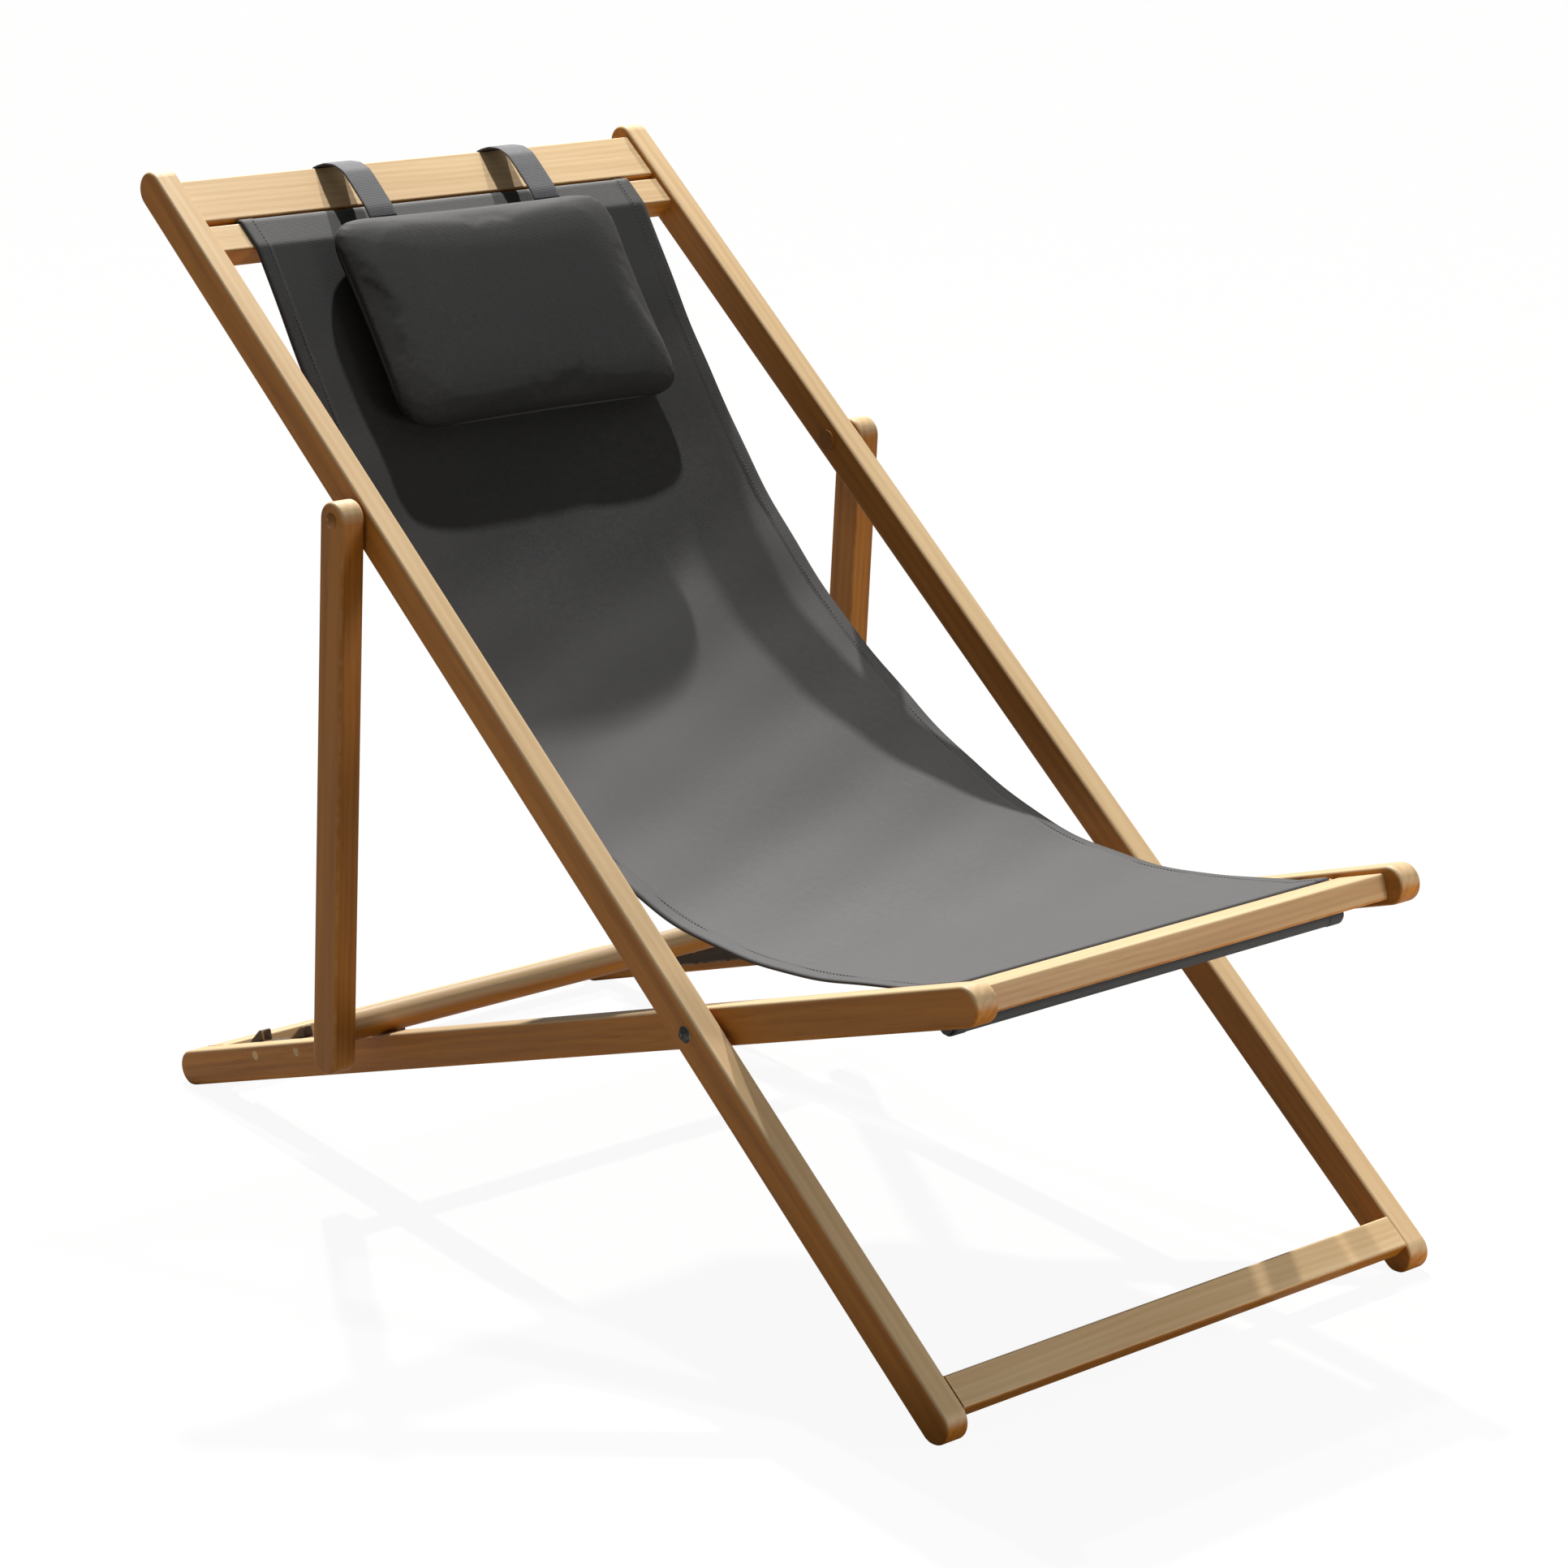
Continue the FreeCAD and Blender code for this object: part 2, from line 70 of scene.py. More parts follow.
# ---------------------------------------------------------------- side view
@dataclass(frozen=True)
class SideFrame:
    """One folding frame seen from the side: u runs along its rails and w stands square to them.

    Args:
        y: the origin's Y.
        z: the origin's Z.
        angle: the turn of u from +Y, in radians.
    """

    y: float
    z: float
    angle: float

    def at(self, u: np.ndarray, w: np.ndarray) -> np.ndarray:
        """Return the (y, z) of points u, w: the pair turned by the angle, plus the origin."""
        c, s = math.cos(self.angle), math.sin(self.angle)
        u, w = np.broadcast_arrays(np.asarray(u, float), np.asarray(w, float))
        return np.stack([self.y + u * c - w * s, self.z + u * s + w * c], axis=-1)

    def local(self, yz: np.ndarray) -> np.ndarray:
        """Return the (u, w) of points (y, z): the offset from the origin, turned back."""
        c, s = math.cos(self.angle), math.sin(self.angle)
        d = np.asarray(yz, float) - (self.y, self.z)
        return np.stack([d[..., 0] * c + d[..., 1] * s, d[..., 1] * c - d[..., 0] * s], axis=-1)


class ChairLines:
    """The three folding frames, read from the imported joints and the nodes' boxes."""

    def __init__(self) -> None:
        """Read the two hinge points and the rail ends."""
        joints = {j["name"]: j for j in frame["joints"]}
        seat_y, seat_z = joints["seat_fold"]["pos_m"][1:]
        prop_y, prop_z = joints["prop_swing"]["pos_m"][1:]
        self.back = SideFrame(seat_y, seat_z, math.atan2(prop_z - seat_z, prop_y - seat_y))
        rear_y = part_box("seat_rail_right")[1].y - RAIL_END_RADIUS
        self.seat = SideFrame(seat_y, seat_z, math.atan2(RAIL_END_HEIGHT - seat_z, rear_y - seat_y))
        lo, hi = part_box("prop_bar")
        bar = ((lo.y + hi.y) / 2, (lo.z + hi.z) / 2)
        self.prop = SideFrame(prop_y, prop_z, math.atan2(bar[1] - prop_z, bar[0] - prop_y))

    @staticmethod
    def span(node: str, side: SideFrame) -> tuple[np.ndarray, np.ndarray]:
        """Return a CAD node's lowest and highest (u, w) in a side frame.

        Args:
            node: the CAD node's name.
            side: the frame to measure in.

        Returns:
            The lowest and the highest corner in u and w.
        """
        uw = side.local(get_points(frame["nodes"][node])[:, 1:])
        return uw.min(0), uw.max(0)


# ---------------------------------------------------------------- mesh tools
def get_points(piece: bpy.types.Object) -> np.ndarray:
    """Return a piece's points, one row each."""
    flat = np.zeros(len(piece.data.vertices) * 3, np.float32)
    piece.data.vertices.foreach_get("co", flat)
    return flat.reshape(-1, 3).astype(float)


def set_points(piece: bpy.types.Object, points: np.ndarray) -> None:
    """Write new points to a piece."""
    piece.data.vertices.foreach_set("co", points.astype(np.float32).ravel())
    piece.data.update()


def grid_faces(rows: int, cols: int, wrap_rows: bool = False, wrap_cols: bool = False) -> np.ndarray:
    """Number the four corners of every cell of a grid, as whole arrays.

    Args:
        rows: points along the first direction.
        cols: points along the second direction.
        wrap_rows: join the last row to the first.
        wrap_cols: join the last column to the first.

    Returns:
        One row of four point numbers for each cell.
    """
    i = np.arange(rows if wrap_rows else rows - 1)[:, None]
    j = np.arange(cols if wrap_cols else cols - 1)[None, :]
    i2, j2 = (i + 1) % rows, (j + 1) % cols
    cells = [i * cols + j, i2 * cols + j, i2 * cols + j2, i * cols + j2]
    return np.stack([np.broadcast_to(c, (i.shape[0], j.shape[1])) for c in cells], -1).reshape(-1, 4)


def new_piece(name: str, points: np.ndarray, faces: list | np.ndarray,
              smooth: bool = True) -> bpy.types.Object:
    """Make an object at the origin from points and faces.

    Args:
        name: the piece's name.
        points: its points, in the row frame.
        faces: point numbers of each face.
        smooth: shade it smooth.

    Returns:
        The new object, linked to the scene.
    """
    mesh = bpy.data.meshes.new(name)
    faces = faces.tolist() if isinstance(faces, np.ndarray) else faces
    mesh.from_pydata(points.reshape(-1, 3).tolist(), [], faces)
    mesh.polygons.foreach_set("use_smooth", np.full(len(mesh.polygons), smooth))
    mesh.update()
    piece = bpy.data.objects.new(name, mesh)
    bpy.context.scene.collection.objects.link(piece)
    return piece


def give_uv(piece: bpy.types.Object, uv: np.ndarray) -> None:
    """Give a piece a UV map in metres, from one (u, v) for each of its points."""
    mesh = piece.data
    layer = mesh.uv_layers.new(name="cloth")
    owner = np.zeros(len(mesh.loops), np.int32)
    mesh.loops.foreach_get("vertex_index", owner)
    layer.data.foreach_set("uv", np.asarray(uv, np.float32).reshape(-1, 2)[owner].ravel())


def fix_normals(piece: bpy.types.Object) -> None:
    """Turn every face of a closed mesh outwards."""
    bm = bmesh.new()
    bm.from_mesh(piece.data)
    bmesh.ops.recalc_face_normals(bm, faces=bm.faces)
    bm.to_mesh(piece.data)
    bm.free()


def thin_shell(name: str, x: np.ndarray, v: np.ndarray, faces_yz: list) -> bpy.types.Object:
    """Make a closed thin sheet from its two faces, with a UV map of its flat size in metres.

    Args:
        name: the piece's name.
        x: the place across of each column.
        v: the run along of each row.
        faces_yz: (y, z) of the upper and the lower face, each rows by columns.

    Returns:
        The piece: both grids of points, and walls between their rims.
    """
    rows, cols = len(v), len(x)
    across = np.broadcast_to(x[None, :, None], (rows, cols, 1))
    points = np.stack([np.concatenate([across, yz], -1) for yz in faces_yz])
    n = rows * cols
    face = grid_faces(rows, cols)
    index = np.arange(n).reshape(rows, cols)
    rim = np.concatenate([index[0, :], index[1:, -1], index[-1, -2::-1], index[-2:0:-1, 0]])
    nxt = np.roll(rim, -1)
    wall = np.stack([rim, nxt, nxt + n, rim + n], -1)
    piece = new_piece(name, points, np.concatenate([face, face[:, ::-1] + n, wall[:, ::-1]]))
    uv = np.stack(np.broadcast_arrays(x[None, :], v[:, None]), -1).reshape(-1, 2)
    give_uv(piece, np.concatenate([uv, uv]))
    fix_normals(piece)
    return piece


def smooth_steps(points: np.ndarray, count: int) -> np.ndarray:
    """Respace a line of points evenly along its own length.

    Args:
        points: the line's points, one row each.
        count: how many points to return.

    Returns:
        The respaced points: the straight-line share between the two nearest given ones.
    """
    run = np.concatenate([[0.0], np.cumsum(np.linalg.norm(np.diff(points, axis=0), axis=1))])
    want = np.linspace(0.0, run[-1], count)
    return np.stack([np.interp(want, run, points[:, k]) for k in range(points.shape[1])], -1)


def arc(cu: float, cw: float, r: float, a0: float, a1: float, count: int) -> np.ndarray:
    """Return points of a circle's arc: the centre plus the radius at angles from a0 to a1 degrees."""
    a = np.radians(np.linspace(a0, a1, count))
    return np.stack([cu + r * np.cos(a), cw + r * np.sin(a)], -1)


def line_length(points: np.ndarray) -> float:
    """Return a line's length, the sum of its steps."""
    return float(np.linalg.norm(np.diff(points, axis=0), axis=1).sum())


def line_normals(points: np.ndarray) -> np.ndarray:
    """Return a flat line's unit normals: its direction, turned a quarter to the left."""
    step = np.gradient(points, axis=0)
    step /= np.linalg.norm(step, axis=1)[:, None]
    return np.stack([-step[:, 1], step[:, 0]], -1)


def signed_power(value: np.ndarray, p: float) -> np.ndarray:
    """Raise the size of each value to a power and keep its sign."""
    return np.sign(value) * np.abs(value) ** p


# ---------------------------------------------------------------- node tools
class NodeSheet:
    """Short ways to add and join shader nodes in a material or a group."""

    def __init__(self, tree: bpy.types.NodeTree) -> None:
        """Start on a node tree."""
        self.tree = tree

    def add(self, kind: str, inputs: dict | None = None, **settings: object) -> bpy.types.Node:
        """Add a node.

        Args:
            kind: the node's type name.
            inputs: values or sockets for its inputs, by name or number.
            settings: the node's own settings.

        Returns:
            The node.
        """
        node = self.tree.nodes.new(kind)
        for key, value in settings.items():
            setattr(node, key, value)
        self.feed(node, inputs or {})
        return node

    def feed(self, node: bpy.types.Node, inputs: dict) -> None:
        """Join sockets to a node's inputs, or set plain values on them."""
        for key, value in inputs.items():
            if isinstance(value, bpy.types.NodeSocket):
                self.tree.links.new(value, node.inputs[key])
            else:
                node.inputs[key].default_value = value

    def math(self, how: str, *values: object, clamp: bool = False) -> bpy.types.NodeSocket:
        """Add a Math node on values or sockets and return its output."""
        node = self.add("ShaderNodeMath", dict(enumerate(values)), operation=how, use_clamp=clamp)
        return node.outputs[0]

    def times(self, a: object, b: object) -> bpy.types.NodeSocket:
        """Multiply two values or sockets and return the product."""
        return self.math("MULTIPLY", a, b)

    def plus(self, *pairs: tuple, less: float = 0.0) -> bpy.types.NodeSocket:
        """Add up values times their shares.

        Args:
            pairs: (value, share) of each term; a term whose share is None is taken whole.
            less: what is taken away at the end, with the rest held to 0..1.

        Returns:
            The sum's socket.
        """
        terms = [value if share is None else self.times(value, share) for value, share in pairs]
        total = terms[0]
        for term in terms[1:]:
            total = self.math("ADD", total, term)
        return self.math("SUBTRACT", total, less, clamp=True) if less else total

    def noise(self, where: bpy.types.NodeSocket, scale: float, detail: float,
              stretch: tuple | None = None) -> bpy.types.NodeSocket:
        """Add a noise.

        Args:
            where: the coordinates.
            scale: its fineness.
            detail: its detail level.
            stretch: scales of the coordinates along each axis, if any.

        Returns:
            The noise's value socket.
        """
        if stretch:
            where = self.add("ShaderNodeMapping", {"Vector": where, "Scale": stretch}).outputs[0]
        return self.add("ShaderNodeTexNoise", {"Vector": where, "Scale": scale, "Detail": detail}).outputs[0]

    def part(self, vector: bpy.types.NodeSocket, axis: int) -> bpy.types.NodeSocket:
        """Return one component of a vector."""
        return self.add("ShaderNodeSeparateXYZ", {0: vector}).outputs[axis]

    def mix(self, share: object, a: object, b: object) -> bpy.types.NodeSocket:
        """Mix two colours by a share and return the result."""
        return self.add("ShaderNodeMix", {0: share, 6: a, 7: b}, data_type="RGBA").outputs[2]

    def ramp(self, value: bpy.types.NodeSocket, lo: float, hi: float, out_lo: float = 0.0,
             out_hi: float = 1.0) -> bpy.types.NodeSocket:
        """Map a value from lo..hi to out_lo..out_hi, smoothly and clamped, and return it."""
        node = self.add("ShaderNodeMapRange", {0: value, 1: lo, 2: hi, 3: out_lo, 4: out_hi},
                        interpolation_type="SMOOTHSTEP")
        return node.outputs[0]


def grey(value: float, blue: float | None = None) -> tuple[float, float, float, float]:
    """Return a grey colour, with its own blue if one is given."""
    return (value, value, value if blue is None else blue, 1.0)


class Effect(Enum):
    """The shared shader groups."""

    GRAIN = "wood_grain"
    WEAVE = "plain_weave"
    WEAR = "edge_wear"
    DUST = "settled_dust"


class EffectGroups:
    """Node groups that several finishes share, each built once."""

    def __init__(self) -> None:
        """Build every group."""
        self.trees = {Effect.GRAIN: self._grain(), Effect.WEAVE: self._weave(),
                      Effect.WEAR: self._wear(), Effect.DUST: self._dust()}

    @staticmethod
    def _start(effect: Effect, inputs: list, outputs: list) -> tuple:
        """Make an empty group with its sockets.

        Args:
            effect: which group.
            inputs: (name, socket type, default) of each input.
            outputs: (name, socket type) of each output.

        Returns:
            The tree, a NodeSheet on it, its input node and its output node.
        """
        tree = bpy.data.node_groups.new(effect.value, "ShaderNodeTree")
        for name, kind, default in inputs:
            socket = tree.interface.new_socket(name, in_out="INPUT", socket_type=kind)
            if default is not None:
                socket.default_value = default
        for name, kind in outputs:
            tree.interface.new_socket(name, in_out="OUTPUT", socket_type=kind)
        sheet = NodeSheet(tree)
        return tree, sheet, sheet.add("NodeGroupInput"), sheet.add("NodeGroupOutput")

    def _grain(self) -> bpy.types.NodeTree:
        """Wood along local X: slow bands warped by noise, fine fibres and short dark pores.

        Bands are the sine of the distance from a far-off heart, bent by a stretched noise.
        """
        tree, s, gin, gout = self._start(
            Effect.GRAIN,
            [("Vector", "NodeSocketVector", None), ("Light", "NodeSocketColor", (1, 1, 1, 1)),
             ("Dark", "NodeSocketColor", (0, 0, 0, 1)), ("Bands", "NodeSocketFloat", 150.0)],
            [("Color", "NodeSocketColor"), ("Roughness", "NodeSocketFloat"),
             ("Height", "NodeSocketFloat")])
        where = gin.outputs["Vector"]
        warp = s.noise(where, 1.0, 2.0, (1.6, 14.0, 14.0))
        far_y, far_z = (s.math("ADD", s.part(where, axis), off) for axis, off in ((1, 0.045), (2, 0.028)))
        heart = s.math("SQRT", s.math("ADD", s.math("POWER", far_y, 2.0), s.math("POWER", far_z, 2.0)))
        bent = s.plus((heart, gin.outputs["Bands"]), (warp, 5.0))
        band = s.math("MULTIPLY_ADD", s.math("SINE", s.times(bent, 6.2832)), 0.5, 0.5)
        fibre = s.noise(where, 1.0, 3.0, (7.0, 420.0, 420.0))
        streak = s.noise(where, 1.0, 2.0, (3.0, 95.0, 95.0))
        pores = s.ramp(s.noise(where, 1.0, 1.0, (26.0, 900.0, 900.0)), 0.62, 0.72)
        board = s.noise(where, 2.3, 1.0)
        tone = s.plus((band, 0.30), (fibre, 0.30), (s.ramp(streak, 0.35, 0.68), 0.42),
                      (s.ramp(board, 0.3, 0.7), 0.22), less=0.22)
        colour = s.mix(tone, gin.outputs["Light"], gin.outputs["Dark"])
        rough = s.math("ADD", 0.40, s.times(fibre, 0.16))
        s.feed(gout, {"Color": s.mix(s.times(pores, 0.35), colour, gin.outputs["Dark"]),
                      "Roughness": s.math("ADD", rough, s.times(pores, 0.15)),
                      "Height": s.math("SUBTRACT", s.times(fibre, 0.6), s.times(pores, 0.5))})
        return tree

    def _weave(self) -> bpy.types.NodeTree:
        """Plain weave on a flat (u, v) in metres: rounded warp and weft threads take turns on top.

        A thread's height is the sine across it times the sine along its crossing, and the
        checker of the two thread numbers says which of them is on top.
        """
        tree, s, gin, gout = self._start(
            Effect.WEAVE,
            [("Vector", "NodeSocketVector", None), ("Pitch", "NodeSocketFloat", 0.0014)],
            [("Height", "NodeSocketFloat"), ("Gap", "NodeSocketFloat"), ("Slub", "NodeSocketFloat")])
        where = gin.outputs["Vector"]
        u, v = (s.math("DIVIDE", s.part(where, axis), gin.outputs["Pitch"]) for axis in (0, 1))
        su, sv = (s.math("ABSOLUTE", s.math("SINE", s.times(k, math.pi))) for k in (u, v))
        turn = s.math("FLOORED_MODULO", s.math("ADD", s.math("FLOOR", u), s.math("FLOOR", v)), 2.0)
        over, under = (s.times(s.math("POWER", own, 0.5), s.math("ADD", 0.35, s.times(other, 0.65)))
                       for own, other in ((su, sv), (sv, su)))
        high = s.plus((turn, over), (s.math("SUBTRACT", 1.0, turn), under))
        slub_u, slub_v = (s.noise(where, 1.0, 1.0, k) for k in ((520.0, 9.0, 1.0), (9.0, 520.0, 1.0)))
        s.feed(gout, {"Height": high, "Gap": s.ramp(high, 0.42, 0.12),
                      "Slub": s.times(s.math("ADD", slub_u, slub_v), 0.5)})
        return tree

    def _wear(self) -> bpy.types.NodeTree:
        """Rubbed edges: where the bevelled normal leaves the true one, broken up by noise."""
        tree, s, gin, gout = self._start(
            Effect.WEAR, [("Radius", "NodeSocketFloat", 0.003), ("Amount", "NodeSocketFloat", 1.0)],
            [("Mask", "NodeSocketFloat")])
        point = s.add("ShaderNodeTexCoord").outputs["Object"]
        normal = s.add("ShaderNodeNewGeometry").outputs["Normal"]
        bevel = s.add("ShaderNodeBevel", {"Radius": gin.outputs["Radius"]}, samples=4)
        dot = s.add("ShaderNodeVectorMath", {0: bevel.outputs[0], 1: normal}, operation="DOT_PRODUCT")
        rubbed = s.times(s.ramp(dot.outputs["Value"], 0.99, 0.86),
                         s.ramp(s.noise(point, 70.0, 3.0), 0.38, 0.62))
        s.feed(gout, {"Mask": s.math("MULTIPLY", rubbed, gin.outputs["Amount"], clamp=True)})
        return tree

    def _dust(self) -> bpy.types.NodeTree:
        """A faint uneven film: slow noise times a fine one, stronger on faces that look up."""
        tree, s, gin, gout = self._start(
            Effect.DUST, [("Amount", "NodeSocketFloat", 0.3)], [("Mask", "NodeSocketFloat")])
        coord = s.add("ShaderNodeTexCoord")
        wide, fine = (s.noise(coord.outputs["Object"], *k) for k in ((6.0, 3.0), (140.0, 2.0)))
        film = s.times(s.ramp(wide, 0.35, 0.7), s.ramp(fine, 0.3, 0.75))
        film = s.times(film, s.ramp(s.part(coord.outputs["Normal"], 2), -0.2, 0.9, 0.15, 1.0))
        s.feed(gout, {"Mask": s.math("MULTIPLY", film, gin.outputs["Amount"], clamp=True)})
        return tree

    def place(self, sheet: NodeSheet, effect: Effect, inputs: dict) -> bpy.types.Node:
        """Put a group into a material, with values or sockets for its inputs, and return its node."""
        return sheet.add("ShaderNodeGroup", inputs, node_tree=self.trees[effect])


# ---------------------------------------------------------------- finishes
class Finish:
    """Common start of every finish: a material with one Principled shader."""

    name: str

    def start(self) -> tuple[bpy.types.Material, NodeSheet, bpy.types.Node]:
        """Make the material.

        Returns:
            The material, a NodeSheet on it and its Principled node.
        """
        material = bpy.data.materials.new(self.name)
        material.use_nodes = True
        material.node_tree.nodes.clear()
        sheet = NodeSheet(material.node_tree)
        shader = sheet.add("ShaderNodeBsdfPrincipled")
        sheet.add("ShaderNodeOutputMaterial", {0: shader.outputs[0]})
        return material, sheet, shader

    @staticmethod
    def bump(sheet: NodeSheet, shader: bpy.types.Node, height: bpy.types.NodeSocket,
             strength: float, distance: float) -> None:
        """Feed a height into the shader's normal through a Bump node."""
        node = sheet.add("ShaderNodeBump", {"Height": height, "Strength": strength, "Distance": distance})
        sheet.feed(shader, {"Normal": node.outputs[0]})


@dataclass(frozen=True)
class OiledTimber(Finish):
    """Oiled hardwood with its grain along one direction.

    Args:
        name: the material's name.
        centre: a point on the piece, where the pattern starts.
        tilt: turn about X that brings the piece's length to +Y, or None for a piece along X.
        shift: slides the pattern so that two pieces differ.
        light: the pale wood's colour.
        dark: the dark wood's colour.
        lit_top_paint: the paler colour of faces that look up: painted light where the light falls on the
            tops.
        rubbed: the colour of worn edges.
        sheen: the shader's specular level.
    """

    name: str
    centre: tuple[float, float, float]
    tilt: float | None
    shift: tuple[float, float, float]
    light: tuple = (0.46, 0.165, 0.013, 1.0)
    dark: tuple = (0.27, 0.087, 0.006, 1.0)
    lit_top_paint: tuple = (0.65, 0.475, 0.275, 1.0)
    rubbed: tuple = (0.80, 0.55, 0.29, 1.0)
    sheen: float = 0.25

    def make(self, groups: EffectGroups) -> bpy.types.Material:
        """Build the material: grain for colour, roughness and bump, a paler grain on faces that look up as
        painted light, and rubbed edges.
        """
        material, s, shader = self.start()
        coord = s.add("ShaderNodeTexCoord")
        turned = s.add("ShaderNodeVectorMath", {0: coord.outputs["Object"], 1: self.centre},
                       operation="SUBTRACT").outputs[0]
        if self.tilt is not None:
            for turn in ((-self.tilt, 0.0, 0.0), (0.0, 0.0, -math.pi / 2)):
                turned = s.add("ShaderNodeMapping", {"Vector": turned, "Rotation": turn}).outputs[0]
        moved = s.add("ShaderNodeVectorMath", {0: turned, 1: self.shift}, operation="ADD").outputs[0]
        # Painted light: faces that look up get their own paler grain, mixed in by the upward-facing mask.
        lit_top_deep = tuple(c * k for c, k in zip(self.lit_top_paint, (0.80, 0.72, 0.62, 1)))
        grain, painted_lit_grain = (groups.place(s, Effect.GRAIN, {"Vector": moved, "Light": pale, "Dark": deep})
                        for pale, deep in ((self.light, self.dark), (self.lit_top_paint, lit_top_deep)))
        wear = groups.place(s, Effect.WEAR, {"Radius": 0.004, "Amount": 0.5}).outputs[0]
        painted_lit_top_mask = s.ramp(s.part(coord.outputs["Normal"], 2), -0.10, 0.62)
        colour = s.mix(painted_lit_top_mask, grain.outputs["Color"], painted_lit_grain.outputs["Color"])
        s.feed(shader, {"Base Color": s.mix(wear, colour, self.rubbed),
                        "Roughness": grain.outputs["Roughness"], "Specular IOR Level": self.sheen})
        self.bump(s, shader, grain.outputs["Height"], 0.25, 0.0004)
        return material


@dataclass(frozen=True)
class BlackenedMetal(Finish):
    """Bolts, washers and studs: a coat that rubs through at its edges.

    Args:
        name: the material's name.
        coat: the coat's colour.
        bare: the colour below it.
        rough: roughness.
        metal: the shader's metallic share.
    """

    name: str
    coat: tuple = (0.035, 0.033, 0.03, 1.0)
    bare: tuple = (0.42, 0.40, 0.37, 1.0)
    rough: float = 0.38
    metal: float = 0.85

    def make(self, groups: EffectGroups) -> bpy.types.Material:
        """Build the material: coat and bare metal mixed by edge wear, with fine blotches."""
        material, s, shader = self.start()
        wear = groups.place(s, Effect.WEAR, {"Radius": 0.0012, "Amount": 0.9}).outputs[0]
        blotch = s.noise(s.add("ShaderNodeTexCoord").outputs["Object"], 420.0, 3.0)
        mottled = s.mix(s.times(blotch, 0.35), self.coat, self.bare)
        s.feed(shader, {"Base Color": s.mix(wear, mottled, self.bare), "Metallic": self.metal,
                        "Roughness": s.math("ADD", self.rough - 0.1, s.times(blotch, 0.25))})
        self.bump(s, shader, blotch, 0.15, 0.0002)
        return material


@dataclass(frozen=True)
class BlackRod(Finish):
    """Matt black plastic rod with fine drawn lines along X."""

    name: str = "black_rod"

    def make(self, groups: EffectGroups) -> bpy.types.Material:
        """Build the material: near black, lines along the rod and a little dust."""
        material, s, shader = self.start()
        point = s.add("ShaderNodeTexCoord").outputs["Object"]
        lines = s.noise(point, 1.0, 2.0, (6.0, 900.0, 900.0))
        dust = groups.place(s, Effect.DUST, {"Amount": 0.25}).outputs[0]
        base = s.mix(lines, grey(0.008, 0.009), grey(0.02, 0.022))
        s.feed(shader, {"Base Color": s.mix(dust, base, (0.09, 0.088, 0.082, 1.0)),
                        "Roughness": s.ramp(lines, 0.2, 0.8, 0.34, 0.52)})
        self.bump(s, shader, lines, 0.12, 0.0003)
        return material


@dataclass(frozen=True)
class WovenCloth(Finish):
    """A plain weave on the piece's own UV map or on a turned flat view of it.

    Args:
        name: the material's name.
        light: the colour of the thread crowns.
        dark: the colour in the gaps.
        pitch: thread spacing in metres.
        rough: roughness.
        sheen: the shader's sheen weight.
        gloss: the shader's specular level.
        painted_sheen_depth: how much darker the cloth is painted when it is seen face on: painted sheen, so
            that grazing views look lighter.
        under: how much darker it is painted where it looks down: painted shade on the lower faces.
        relief: how far the threads stand up, in metres.
        turned: (centre, tilt) of a flat view for a piece without a UV map.
    """

    name: str
    light: tuple
    dark: tuple
    pitch: float = 0.0014
    rough: float = 0.7
    sheen: float = 0.0
    gloss: float = 0.35
    painted_sheen_depth: float = 0.0
    under: float = 0.0
    relief: float = 0.0003
    turned: tuple | None = None

    def make(self, groups: EffectGroups) -> bpy.types.Material:
        """Build the material: thread crowns and gaps, uneven threads, slow tone changes, a dust film,
        painted sheen where it is seen face on, painted shade where it looks down, and bump.
        """
        material, s, shader = self.start()
        coord = s.add("ShaderNodeTexCoord")
        if self.turned is None:
            flat = s.add("ShaderNodeUVMap", uv_map="cloth").outputs[0]
        else:
            centre, tilt = self.turned
            middle = s.add("ShaderNodeVectorMath", {0: coord.outputs["Object"], 1: centre},
                           operation="SUBTRACT").outputs[0]
            flat = s.add("ShaderNodeMapping", {"Vector": middle, "Rotation": (-tilt, 0.0, 0.0)}).outputs[0]
        weave = groups.place(s, Effect.WEAVE, {"Vector": flat, "Pitch": self.pitch})
        gap = weave.outputs["Gap"]
        dust = groups.place(s, Effect.DUST, {"Amount": 0.10}).outputs[0]
        share = s.plus((gap, 0.65), (weave.outputs["Slub"], 0.5),
                       (s.noise(coord.outputs["Object"], 5.0, 2.0), 0.18), less=0.22)
        # Painted sheen: the cloth is darkened where it is seen face on, so grazing views look lighter.
        facing = s.add("ShaderNodeLayerWeight", {"Blend": 0.5}).outputs["Facing"]
        painted_face_on_dark = s.ramp(facing, 0.26, 0.42, self.painted_sheen_depth, 0.0)
        # Painted shade: faces that look down are darkened.
        painted_underside_shade = s.ramp(s.part(coord.outputs["Normal"], 2), -0.10, 0.45, self.under, 0.0)
        colour = s.mix(painted_face_on_dark, s.mix(share, self.light, self.dark), grey(0.004))
        colour = s.mix(painted_underside_shade, colour, grey(0.002))
        s.feed(shader, {"Base Color": s.mix(dust, colour, (0.11, 0.107, 0.10, 1.0)),
                        "Roughness": s.math("ADD", self.rough, s.times(gap, 0.15), clamp=True),
                        "Sheen Weight": self.sheen, "Sheen Roughness": 0.4,
                        "Specular IOR Level": self.gloss})
        self.bump(s, shader, weave.outputs["Height"], 0.5, self.relief)
        return material


